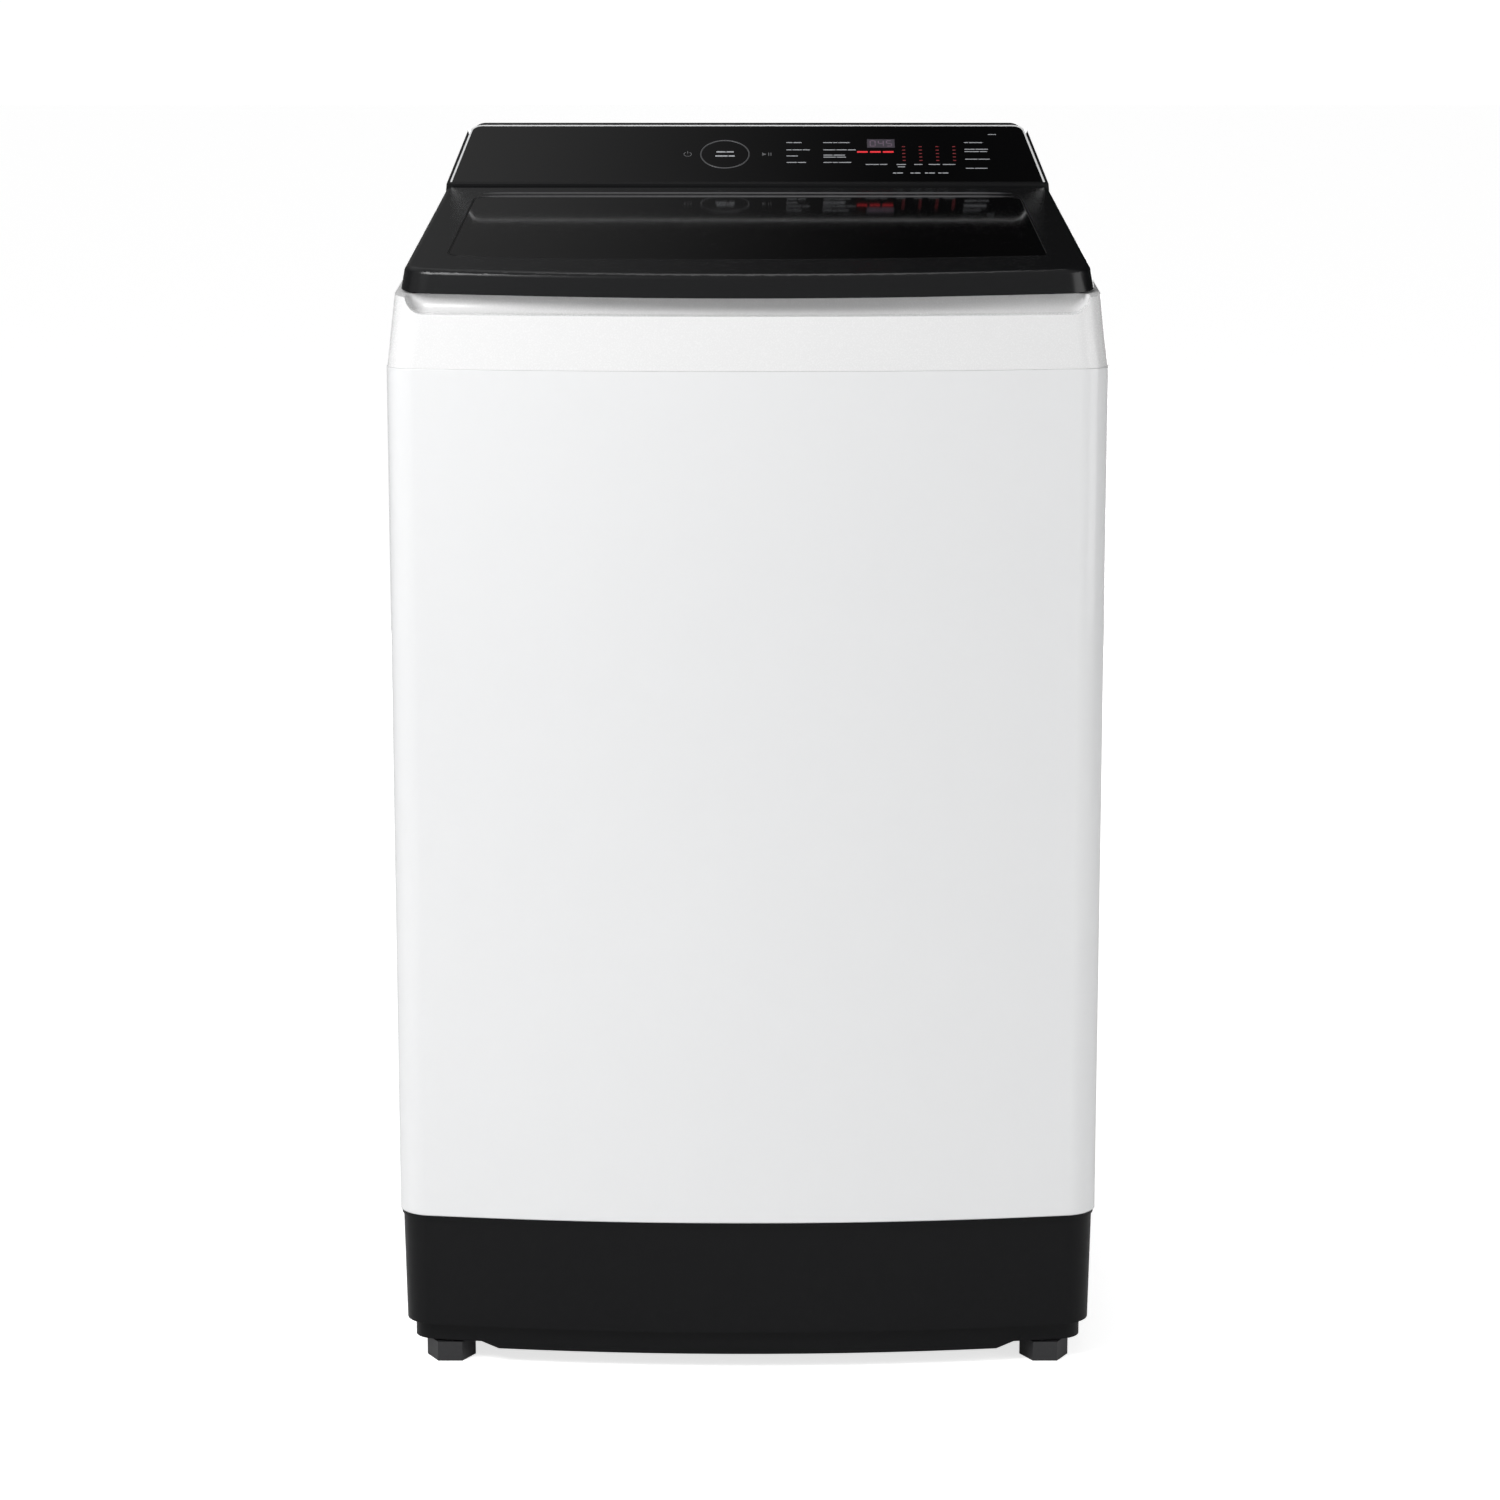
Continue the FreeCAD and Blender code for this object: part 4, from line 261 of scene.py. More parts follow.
def dress(material, edge, *nodes):
    """Gives CAD nodes a finish, and soft edges where a radius is given."""
    for label in nodes:
        item = frame["nodes"][label]
        item.data.materials.clear()
        item.data.materials.append(material)
        item.data.polygons.foreach_set("use_smooth", np.ones(len(item.data.polygons), bool))
        if edge:
            soften(item, edge)


enamel = finish("white_enamel", (0.80, 0.805, 0.81), (0.785, 0.79, 0.797), (0.30, 0.34), grain=(130, 0.02),
                Coat_Weight=0.5, Coat_Roughness=0.12)
dress(enamel, 0.0011, "cabinet_wrap")

# --- Back panel, brackets and screws ------------------------------------------------------------
# The back is bare galvanised sheet with a pressed field, and zinc plated brackets stiffen the
# cabinet's top corners. Self-tapping screws hold them.
zinc = finish("galvanised_sheet", (0.50, 0.51, 0.525), (0.36, 0.37, 0.385), (0.30, 0.46), grain=(70, 0.05),
              cloud=38, Metallic=0.9)
dress(zinc, 0, "back_panel")
dress(zinc, 0.0005, "corner_brackets")
screw_steel = finish("plated_screws", (0.42, 0.42, 0.43), (0.34, 0.34, 0.35), (0.25, 0.4), Metallic=1)
dress(screw_steel, 0.0003, "cabinet_screws", "foot_lock_nuts")

# --- Plastic base, feet, outlet and cord gland --------------------------------------------------
# The base is one black polypropylene moulding with a fine satin grain. Four hexagonal feet on
# steel studs level the machine, and the drain spigot and cord gland pass through its back wall.
base_black = finish("base_plastic", (0.0042, 0.0044, 0.0050), (0.0055, 0.0057, 0.0063), (0.36, 0.46),
                    grain=(2200, 0.10), Specular_IOR_Level=0.13)
dress(base_black, 0.0045, "base_frame")
dress(base_black, 0.0006, "drain_outlet", "power_gland")
foot_black = finish("foot_rubber", (0.016, 0.016, 0.018), (0.022, 0.022, 0.024), (0.42, 0.58),
                    grain=(1500, 0.18))
dress(foot_black, 0.0026, "foot_front_left", "foot_front_right", "foot_rear_left", "foot_rear_right")

# --- Top cover ----------------------------------------------------------------------------------
# The white moulded cover carries the lid and the console, with a finger scoop under the lid's
# front edge and a collar round the laundry opening.
cover_white = finish("cover_plastic", (0.80, 0.80, 0.80), (0.785, 0.785, 0.787), (0.24, 0.3),
                     grain=(900, 0.02), Coat_Weight=0.3, Coat_Roughness=0.1)
dress(cover_white, 0.0016, "top_cover")

# --- Lid, its glass and hinges ------------------------------------------------------------------
# A black gloss frame holds a sheet of tinted tempered glass. A matt liner closes it underneath,
# rubber bumpers take its fall, and it swings on two steel pins in the trough's brackets.
lid_black = finish("lid_plastic", (0.0055, 0.0057, 0.0062), (0.0070, 0.0072, 0.0078), (0.20, 0.26),
                   grain=(1600, 0.03), Specular_IOR_Level=0.32)
dress(lid_black, 0.0012, "lid_frame")
glass = finish("tinted_glass", (0.0016, 0.0016, 0.0018), (0.0022, 0.0022, 0.0024), (0.05, 0.07),
               grain=(8, 0.002), IOR=1.32)
dress(glass, 0.0005, "lid_glass")
lid_hinge = next(joint for joint in frame["joints"] if joint["name"] == "lid_hinge")
hinge_at = np.array(lid_hinge["pos_m"])
LID_SLOPE = math.radians(4.55)
LID_TOP = 0.012
GLASS_HALF, GLASS_FRONT, GLASS_REAR = 0.257, -0.4425, -0.062
GLASS_BOW, GLASS_CORNER = 0.022, 0.016
GLASS_CUT_IN, GLASS_CUT_BACK = 0.010, 0.012


def on_lid(points):
    """Places points given from the hinge's axis, y back and z square to the lid's face, by turning
    them through the lid's slope."""
    x, y, z = points[..., 0], points[..., 1], points[..., 2]
    return np.stack([hinge_at[0] + x, hinge_at[1] + y * math.cos(LID_SLOPE) - z * math.sin(LID_SLOPE),
                     hinge_at[2] + y * math.sin(LID_SLOPE) + z * math.cos(LID_SLOPE)], axis=-1)


def glass_outline(steps=24):
    """The glass's edge, once round: the front bows out by the square of x, the sides and back are
    straight, quarter circles join the back and the sides, and a slant cuts each front corner."""
    across = np.linspace(-GLASS_HALF + GLASS_CUT_IN, GLASS_HALF - GLASS_CUT_IN, steps)
    front = np.stack([across, GLASS_FRONT + GLASS_BOW * (across / GLASS_HALF) ** 2], axis=-1)
    turn = np.linspace(0, math.pi / 2, 8)
    arc = np.stack([np.cos(turn), np.sin(turn)], axis=-1) * GLASS_CORNER
    corner = np.array([GLASS_HALF - GLASS_CORNER, GLASS_REAR - GLASS_CORNER])
    right = np.vstack([[[GLASS_HALF, GLASS_FRONT + GLASS_BOW + GLASS_CUT_BACK]], corner + arc])
    left = right[::-1] * (-1, 1)
    return np.vstack([front, right, left])


def edge_band(name, outline, section, material):
    """A strip that follows a closed outline: each point of the section is set out from the outline
    along its outward normal, and up from the lid's face."""
    ahead = np.roll(outline, -1, axis=0) - np.roll(outline, 1, axis=0)
    ahead /= np.linalg.norm(ahead, axis=1, keepdims=True)
    outward = np.stack([ahead[:, 1], -ahead[:, 0]], axis=-1)
    out, up = np.asarray(section).T
    flat = outline[:, None] + out[None, :, None] * outward[:, None]
    height = np.broadcast_to(LID_TOP + up[None, :, None], (*flat.shape[:2], 1))
    points = np.concatenate([flat, height], axis=-1)
    band = sheet_mesh(name, on_lid(points), close_u=True, close_v=True, flip=True)
    band.data.materials.append(material)
    return band


# --- Glass seal and rear rib ---------------------------------------------------------------------
# A soft black bead fills the groove round the glass. Two low ribs moulded across the frame behind
# it catch the light as a pair of fine lines, and are coloured a lighter grey than the frame as a painted
# highlight.
seal_black = finish("glass_seal", (0.002, 0.002, 0.002), (0.003, 0.003, 0.003), (0.35, 0.5), grain=(900, 0.1))
SEAL_SET, SEAL_RADIUS = 0.0008, 0.0007
seal_turn = np.linspace(0, 2 * math.pi, 10, endpoint=False)
seal_section = np.stack([SEAL_SET + SEAL_RADIUS * np.cos(seal_turn),
                         -SEAL_SET + SEAL_RADIUS * np.sin(seal_turn)], axis=-1)
seal = edge_band("glass_seal", glass_outline(), seal_section, seal_black)
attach(seal, "lid")
RIB_NEAR, RIB_FAR, RIB_HALF, RIB_HIGH, RIB_WIDE = -0.0585, -0.036, 0.252, 0.0011, 0.0022
RIB_FADE, RIB_ROOT = 0.02, 0.0004


def capped(points):
    """Closes a tube's two ends by drawing its first and last rings in to their middles."""
    first, last = points[:1].mean(axis=1, keepdims=True), points[-1:].mean(axis=1, keepdims=True)
    return np.concatenate([np.broadcast_to(first, points[:1].shape), points,
                           np.broadcast_to(last, points[:1].shape)])


def rib_points(middle):
    """A low rib across the lid: its height is a half cosine of the depth, which sinks to nothing
    at its ends, over a flat underside just inside the frame."""
    across = np.linspace(-RIB_HALF, RIB_HALF, 41)
    swing = np.linspace(-1, 1, 9)
    across, swing = np.meshgrid(across, swing, indexing="ij")
    fade = np.clip((RIB_HALF - np.abs(across)) / RIB_FADE, 0, 1) ** 0.5
    crown = LID_TOP + RIB_HIGH * fade * np.cos(swing * math.pi / 2)
    top = np.stack([across, middle + swing * RIB_WIDE, crown], axis=-1)
    under = top * (1, 1, 0) + (0, 0, LID_TOP - RIB_ROOT)
    return on_lid(np.concatenate([top, under[:, ::-1]], axis=1))


# Painted highlight: the ribs are a lighter grey than the black frame they are moulded in, so they show as two
# fine light lines.
rib_painted_highlight_grey = finish("rib_plastic", (0.03, 0.03, 0.032), (0.036, 0.036, 0.038), (0.25, 0.32),
                   grain=(1600, 0.03))
ribs = [sheet_mesh(f"lid_rib_{i}", capped(rib_points(middle)), close_v=True, flip=True)
        for i, middle in enumerate((RIB_NEAR, RIB_FAR))]
for rib in ribs:
    rib.data.materials.append(rib_painted_highlight_grey)
    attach(rib, "lid")

# --- Liner, bumpers, hinge pins and lock ---------------------------------------------------------
# Under the lid are its matt black liner, the lock's strike and four rubber bumpers. The bolt that
# holds the lid shut during a spin slides in the lock's housing.
matt_black = finish("matt_black_plastic", (0.016, 0.016, 0.017), (0.022, 0.022, 0.023), (0.5, 0.65),
                    grain=(1400, 0.2))
dress(matt_black, 0.0006, "lid_liner", "lid_strike", "hinge_brackets", "lock_housing")
rubber = finish("black_rubber", (0.014, 0.014, 0.014), (0.024, 0.024, 0.024), (0.6, 0.8), grain=(1100, 0.3))
dress(rubber, 0.0008, "lid_bumpers", "tub_seal", "discharge_tube")
pin_steel = finish("ground_steel", (0.46, 0.46, 0.47), (0.38, 0.38, 0.39), (0.18, 0.3), stretch=(0.2, 1, 1),
                   Metallic=1)
dress(pin_steel, 0.0004, "lid_hinge_pins")
milk_white = finish("white_acetal", (0.76, 0.76, 0.74), (0.70, 0.70, 0.68), (0.34, 0.44), grain=(1100, 0.06),
                    Subsurface_Weight=0.05)
dress(milk_white, 0.0004, "lock_bolt")

# --- Console ------------------------------------------------------------------------------------
# The housing is black gloss plastic. Its sloping touch panel is one black gloss sheet inside a
# thin bright trim, over the control board and the water level sensor.
console_black = finish("console_plastic", (0.0050, 0.0052, 0.0057), (0.0065, 0.0067, 0.0072), (0.16, 0.22),
                       grain=(1500, 0.02), Specular_IOR_Level=0.3)
dress(console_black, 0.0015, "console_housing")
panel_black = finish("panel_glaze", (0.0016, 0.0016, 0.0018), (0.0022, 0.0022, 0.0024), (0.05, 0.08),
                     grain=(12, 0.002))
dress(panel_black, 0.0004, "console_panel")
trim_silver = finish("bright_trim", (0.80, 0.805, 0.81), (0.72, 0.725, 0.73), (0.3, 0.4), grain=(2500, 0.05),
                     Metallic=0.3)
dress(trim_silver, 0.0002, "console_trim")
ring_grey = finish("dial_ring_plate", (0.10, 0.10, 0.105), (0.08, 0.08, 0.085), (0.3, 0.4),
                   grain=(2500, 0.05), Metallic=0.5)
dress(ring_grey, 0.0002, "dial_ring")
board_green = finish("board_lacquer", (0.01, 0.09, 0.035), (0.008, 0.07, 0.028), (0.2, 0.4), grain=(500, 0.2))
dress(board_green, 0.0003, "control_board")
dress(milk_white, 0.0008, "pressure_sensor")

# --- Marks, lamps and display on the touch panel -------------------------------------------------
# Legends are printed under the glaze in pale grey as plain unlettered dashes, with a power sign and
# a play and pause sign. Red lamps and a digit display shine through it.
panel_low = Vector((0, 0.222, 1.001))
PANEL_TILT = math.atan2(0.054, 0.088)
MARK_HIGH, DIGIT_HIGH = 0.00012, 0.0002
WORD_GAP = 0.9
mark_steps = np.array([(-1, -1), (1, -1), (1, 1), (-1, 1)])


def on_panel(flat):
    """Places (x, up the slope, out of the panel) points: up and out turn by the panel's tilt."""
    x, up, out = flat[..., 0], flat[..., 1], flat[..., 2]
    return np.stack([x + panel_low.x, panel_low.y + up * math.cos(PANEL_TILT) - out * math.sin(PANEL_TILT),
                     panel_low.z + up * math.sin(PANEL_TILT) + out * math.cos(PANEL_TILT)], axis=-1)


def raised_marks(name, outlines, material, high=MARK_HIGH):
    """Thin raised plates: each outline of (x, up) corners in mm is given a top, and sides down to
    just under the panel's face."""
    verts, faces = [], []
    for outline in outlines:
        corners = np.asarray(outline, float) / 1000
        count, first = len(corners), len(verts)
        for out in (-high, high):
            verts.extend(on_panel(np.column_stack([corners, np.full(count, out)])).tolist())
        faces.append([first + count + i for i in range(count)])
        faces.append([first + i for i in reversed(range(count))])
        faces.extend([first + i, first + (i + 1) % count, first + count + (i + 1) % count,
                      first + count + i] for i in range(count))
    mesh = bpy.data.meshes.new(name)
    mesh.from_pydata(verts, [], faces)
    mesh.materials.append(material)
    item = bpy.data.objects.new(name, mesh)
    scene.collection.objects.link(item)
    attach(item, "cabinet")
    return item


def bar(x, up, wide, high):
    """A rectangle from its left edge, middle height, width and height."""
    return np.array([x + wide / 2, up]) + mark_steps * np.array([wide, high]) / 2


def arc_band(x, up, radius, wide, start, end, steps=20):
    """A band along an arc, given its middle radius and width, and its start and end in degrees."""
    turn = np.radians(np.linspace(start, end, steps))
    ring = np.stack([np.cos(turn), np.sin(turn)], axis=-1)
    quads = [np.array([ring[i] * (radius - wide / 2), ring[i] * (radius + wide / 2),
                       ring[i + 1] * (radius + wide / 2), ring[i + 1] * (radius - wide / 2)]) + (x, up)
             for i in range(steps - 1)]
    return quads


def dashes(x, up, words, high=1.15):
    """A line of unlettered legend: one dash for each word's length."""
    line = []
    for wide in words:
        line.append(bar(x, up, wide, high))
        x += wide + WORD_GAP
    return line


print_grey = finish("printed_legend", (0.40, 0.41, 0.43), (0.32, 0.33, 0.35), (0.3, 0.4))
print_dim = finish("printed_legend_dim", (0.10, 0.10, 0.105), (0.085, 0.085, 0.09), (0.3, 0.4))
legend = []
for row, words in zip((70, 57.5, 47, 36), ((6, 8), (5, 9, 7), (11,), (10, 8))):
    legend += dashes(38, row, words)
for row, words in zip((70, 57.5, 48.5, 45, 36), ((9, 4, 11), (12, 10, 8), (9, 11), (12, 9), (8, 5, 12))):
    legend += dashes(74, row, words)
for row, words in zip((70, 58.5, 54.5, 41.5, 26), ((4, 13), (10, 12), (14, 7), (12, 11), (8, 12))):
    legend += dashes(212, row, words)
for start, words in ((115, (13, 7)), (145, (9,)), (162, (8,)), (176, (11,)), (190, (12,))):
    legend += dashes(start, 32.5, words)
legend += dashes(146, 28.5, (7,))
for x in (141, 158, 172, 185):
    legend += dashes(x, 18, (3.2, 5.5), high=1.5)
legend += dashes(236, 84, (8,), high=1.0)
for row, words in ((54, (9, 7)), (47, (12, 6))):
    length = sum(words) + WORD_GAP * (len(words) - 1)
    legend += dashes(-22 - length / 2, row, words, high=2.0)
raised_marks("panel_legends", legend, print_grey)
signs = [*arc_band(-58.5, 50, 3.6, 0.7, 120, 420), bar(-58.85, 53, 0.7, 4.2)]
signs += [np.array([(14.2, 47.4), (18.6, 50), (14.2, 52.6)]), bar(20.2, 50, 0.8, 5), bar(22.4, 50, 0.8, 5)]
raised_marks("panel_signs", signs, print_dim)


def lamp_finish(name, colour, power, other):
    """A lit lens: its light varies a little from one place to the next."""
    lens = finish(name, colour, other, (0.3, 0.4), cloud=160)
    tree = lens.node_tree
    skin = next(n for n in tree.nodes if n.type == "GROUP")
    shader = tree.nodes["Principled BSDF"]
    tree.links.new(skin.outputs["Color"], shader.inputs["Emission Color"])
    shader.inputs["Emission Strength"].default_value = power
    return lens


red_bright = lamp_finish("lit_red_lamps", (0.66, 0.018, 0.027), 0.5, (0.55, 0.012, 0.02))
red_dim = lamp_finish("dim_red_lamps", (0.16, 0.008, 0.012), 0.5, (0.08, 0.004, 0.006))
LIT_LEFT, LIT_STEP, LIT_UP = 107, 12.6, 54
lit_row = [bar(LIT_LEFT + LIT_STEP * i, LIT_UP, 10.4, 2.5) for i in range(3)]
raised_marks("lit_lamps", lit_row, red_bright)
DIM_LEFT, DIM_TOP, DIM_ACROSS, DIM_DOWN = 151, 63, 16.4, 5.9
lamp_rows = [bar(DIM_LEFT + column * DIM_ACROSS, DIM_TOP - row * DIM_DOWN, 3.0, 1.3)
             for column in range(4) for row in range(5)]
raised_marks("dim_lamps", lamp_rows, red_dim)
DISPLAY_UP = 68.5
DIGIT_MIDDLE, DIGIT_STEP, DIGIT_HALF_WIDE, SEGMENT_STEP = 122.5, 8, 2.4, 2.3
FLAT_BAR, UPRIGHT_BAR = (3.8, 0.9), (0.9, 3.9)
SEGMENTS = ((0, 2, FLAT_BAR), (1, 1, UPRIGHT_BAR), (1, -1, UPRIGHT_BAR), (0, -2, FLAT_BAR),
            (-1, -1, UPRIGHT_BAR), (-1, 1, UPRIGHT_BAR), (0, 0, FLAT_BAR))
digits = []
for place, lit in enumerate(((0, 1, 2, 3, 4, 5), (1, 2, 5, 6), (0, 2, 3, 5, 6))):
    for number in lit:
        across, along, (wide, high) = SEGMENTS[number]
        middle = DIGIT_MIDDLE + place * DIGIT_STEP + across * DIGIT_HALF_WIDE
        digits.append(bar(middle - wide / 2, DISPLAY_UP + along * SEGMENT_STEP, wide, high))
window = lamp_finish("display_window", (0.022, 0.017, 0.025), 0.5, (0.018, 0.014, 0.021))
digit_glow = lamp_finish("display_digits", (0.10, 0.07, 0.10), 0.7, (0.08, 0.055, 0.08))
raised_marks("display_window", [bar(117, DISPLAY_UP, 27, 14.5)], window)
raised_marks("display_digits", digits, digit_glow, DIGIT_HIGH)

# --- Detergent drawer and inlet valve -----------------------------------------------------------
# The white drawer slides out of the opening's back wall from a grey housing, which the twin inlet
# valve behind it feeds.
tray_white = finish("drawer_plastic", (0.72, 0.73, 0.74), (0.69, 0.70, 0.71), (0.28, 0.36), grain=(900, 0.05))
dress(tray_white, 0.0012, "detergent_drawer")
tub_grey = finish("tub_plastic", (0.42, 0.43, 0.44), (0.37, 0.38, 0.39), (0.4, 0.5), grain=(700, 0.12))
dress(tub_grey, 0.0006, "drawer_housing")
dress(milk_white, 0.0008, "inlet_valve", "drain_pump")

# --- Suspension ---------------------------------------------------------------------------------
# Four steel rods hang from the corner brackets, and a wire spring at the foot of each carries the
# tub on a nylon cap.
dress(pin_steel, 0.0006, "suspension_rods")
dress(milk_white, 0.001, "damper_caps")
SPRING_RADIUS, SPRING_WIRE, SPRING_TURNS = 0.0160, 0.0018, 9
CLOSED_SHARE, SPRING_END = 0.1, 1.1
springs_low, springs_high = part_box("suspension_springs")
spring_x = springs_high.x - SPRING_RADIUS - SPRING_WIRE
spring_ys = (springs_low.y + SPRING_RADIUS + SPRING_WIRE, springs_high.y - SPRING_RADIUS - SPRING_WIRE)


def tube_points(path, radius, sides):
    """Rings of points round a path: each ring lies square to the path's direction there."""
    ahead = np.roll(path, -1, axis=0) - np.roll(path, 1, axis=0)
    ahead[0], ahead[-1] = path[1] - path[0], path[-1] - path[-2]
    ahead /= np.linalg.norm(ahead, axis=1, keepdims=True)
    side = np.cross(ahead, (0, 0, 1.0))
    side /= np.linalg.norm(side, axis=1, keepdims=True)
    up = np.cross(side, ahead)
    turn = np.linspace(0, 2 * math.pi, sides, endpoint=False)
    return (path[:, None] + radius * (np.cos(turn)[None, :, None] * side[:, None]
                                      + np.sin(turn)[None, :, None] * up[:, None]))


def coil(x, y):
    """A helix: the angle grows evenly, and the height waits at both ends, where turns lie closed."""
    share = np.linspace(0, 1, SPRING_TURNS * 26)
    rise = np.clip((share - CLOSED_SHARE) / (1 - 2 * CLOSED_SHARE), 0, 1)
    angle = share * SPRING_TURNS * 2 * math.pi
    low, high = springs_low.z + SPRING_WIRE * SPRING_END, springs_high.z - SPRING_WIRE * SPRING_END
    creep = 2 * SPRING_WIRE * SPRING_TURNS * CLOSED_SHARE
    height = low + creep * np.clip(share / CLOSED_SHARE, 0, 1) + (high - low - 2 * creep) * rise
    height += creep * np.clip((share - 1 + CLOSED_SHARE) / CLOSED_SHARE, 0, 1)
    path = np.stack([x + SPRING_RADIUS * np.cos(angle), y + SPRING_RADIUS * np.sin(angle), height], axis=-1)
    return capped(tube_points(path, SPRING_WIRE, 8))


def join(name, items):
    """Merges pieces of one kind into a single object."""
    with bpy.context.temp_override(active_object=items[0], selected_editable_objects=items,
                                   object=items[0], selected_objects=items):
        bpy.ops.object.join()
    items[0].name = name
    return items[0]


spring_steel = finish("spring_wire", (0.40, 0.40, 0.41), (0.32, 0.32, 0.33), (0.25, 0.4), grain=(600, 0.1),
                      Metallic=1)
coils = [sheet_mesh(f"coil_{i}", coil(x, y), close_v=True, flip=True)
         for i, (x, y) in enumerate((side * spring_x, y) for side in (-1, 1) for y in spring_ys)]
springs = join("springs", coils)
springs.data.materials.append(spring_steel)
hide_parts("suspension_springs")
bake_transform(springs)

# --- Outer tub ----------------------------------------------------------------------------------
# The grey polypropylene tub hangs from the rods by four lugs, and its white cover is clipped on
# round its mouth. A rubber seal and bolts close its floor round the drive.
dress(tub_grey, 0.0012, "outer_tub", "basket_base")
dress(cover_white, 0.001, "tub_cover")
dress(screw_steel, 0.0004, "tub_bolts")

# --- Spin basket --------------------------------------------------------------------------------
# The drum is a thin stainless sheet rolled to a cylinder, with pierced rows of drain holes between
# pressed upright flutes that stiffen it.
basket_low, basket_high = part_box("spin_basket")
basket_middle = (basket_low + basket_high) / 2
BASKET_OUT = (basket_high.x - basket_low.x) / 2
BASKET_WALL = 0.0010
HOLE_COLUMNS, HOLE_ROWS, HOLE_RADIUS = 72, 20, 0.0019
DRUM_FOOT, DRUM_HOLED, DRUM_RIM = 0.05, 0.86, 0.09
FLUTE_DEEP, FLUTE_START, FLUTE_STOP, FLUTE_FADE = 0.0014, 0.03, 0.06, 0.03


def pierced_drum():
    """A cylinder cut into cells. A cell's eight outer points lie on its border and its eight inner
    ones on a circle, so the quads between them leave a round hole. The radius dips by a cosine
    of the angle to press the flutes."""
    tall = basket_high.z - basket_low.z
    cell_wide, cell_tall = 2 * math.pi / HOLE_COLUMNS, tall * DRUM_HOLED / HOLE_ROWS
    border = np.array([(-1, -1), (0, -1), (1, -1), (1, 0), (1, 1), (0, 1), (-1, 1), (-1, 0)]) / 2
    turn = np.radians(np.arange(8) * 45 - 135)
    circle = np.stack([np.cos(turn), np.sin(turn)], axis=-1)
    circle[:, 0] *= HOLE_RADIUS / BASKET_OUT / cell_wide
    circle[:, 1] *= HOLE_RADIUS / cell_tall
    column, row = np.meshgrid(np.arange(HOLE_COLUMNS), np.arange(HOLE_ROWS), indexing="ij")
    middle = np.stack([column, row], axis=-1).reshape(-1, 1, 2) + 0.5
    cells = np.concatenate([middle + border, middle + circle], axis=1)
    start = np.arange(len(cells))[:, None, None] * 16
    ring = np.arange(8)
    quad = np.stack([ring, (ring + 1) % 8, (ring + 1) % 8 + 8, ring + 8], axis=-1)
    faces = (start + quad[None]).reshape(-1, 4)
    flat = cells.reshape(-1, 2)
    bottom = basket_low.z + tall * DRUM_FOOT
    verts, base = [flat], len(flat)
    foot, rim = tall * DRUM_FOOT / cell_tall, tall * DRUM_RIM / cell_tall
    for high, low in ((0, -foot), (HOLE_ROWS + rim, HOLE_ROWS)):
        across = np.arange(2 * HOLE_COLUMNS + 1) / 2
        band = np.stack([np.tile(across, 2), np.repeat([low, high], len(across))], axis=-1)
        step = np.arange(len(across) - 1)
        faces = np.concatenate([faces, base + np.stack([step, step + 1, step + 1 + len(across),
                                                        step + len(across)], axis=-1)])
        verts.append(band)
        base += len(band)
    flat = np.concatenate(verts)
    angle, height = flat[:, 0] * cell_wide, bottom + flat[:, 1] * cell_tall
    fade = np.clip((height - basket_low.z - FLUTE_START) / FLUTE_FADE, 0, 1)
    fade *= np.clip((basket_high.z - FLUTE_STOP - height) / FLUTE_FADE, 0, 1)
    radius = BASKET_OUT - FLUTE_DEEP * fade * (0.5 + 0.5 * np.cos(angle * HOLE_COLUMNS / 2)) ** 2
    points = np.stack([basket_middle.x + radius * np.cos(angle), basket_middle.y + radius * np.sin(angle),
                       height], axis=-1)
    mesh = bpy.data.meshes.new("drum_sheet")
    mesh.from_pydata(points.tolist(), [], faces.tolist())
    item = bpy.data.objects.new("drum_sheet", mesh)
    scene.collection.objects.link(item)
    return item


drum = pierced_drum()
drum_join = drum.modifiers.new("joined", "WELD")
drum_join.merge_threshold = 0.0001
drum_wall = drum.modifiers.new("sheet_thickness", "SOLIDIFY")
drum_wall.thickness = BASKET_WALL
drum_wall.offset = -1
drum.data.polygons.foreach_set("use_smooth", np.ones(len(drum.data.polygons), bool))
stainless = finish("brushed_stainless", (0.56, 0.56, 0.57), (0.47, 0.47, 0.48), (0.2, 0.34),
                   grain=(240, 0.12), stretch=(1, 1, 14), cloud=5, Metallic=1)
drum.data.materials.append(stainless)
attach(drum, "basket")
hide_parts("spin_basket")
dress(cover_white, 0.0025, "balance_ring")
cast_metal = finish("cast_aluminium", (0.42, 0.42, 0.43), (0.34, 0.34, 0.35), (0.4, 0.6), grain=(420, 0.5),
                    Metallic=0.85)
dress(cast_metal, 0.001, "basket_hub", "clutch_housing")
dress(tub_grey, 0.001, "lint_filter_left", "lint_filter_right")

# --- Pulsator -----------------------------------------------------------------------------------
# The wash plate on the basket's floor is moulded in grey plastic. Six curved vanes swell out of
# its dished face, and a bright cap hides the screw at its middle.
plate_low, plate_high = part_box("pulsator")
plate_middle = (plate_low + plate_high) / 2
PLATE_RADIUS = (plate_high.x - plate_low.x) / 2
CAP_RADIUS = 0.027
VANES, VANE_LEAN, VANE_HEADROOM = 6, 0.55, 0.027
PLATE_GAP, PLATE_HOLE, PLATE_WALL = 0.0015, 0.004, 0.0045
DISH_LOW, DISH_RISE, PLATE_RIB = 0.011, 0.014, 0.0012
HUB_REACH, HUB_DROP = 0.12, 0.004


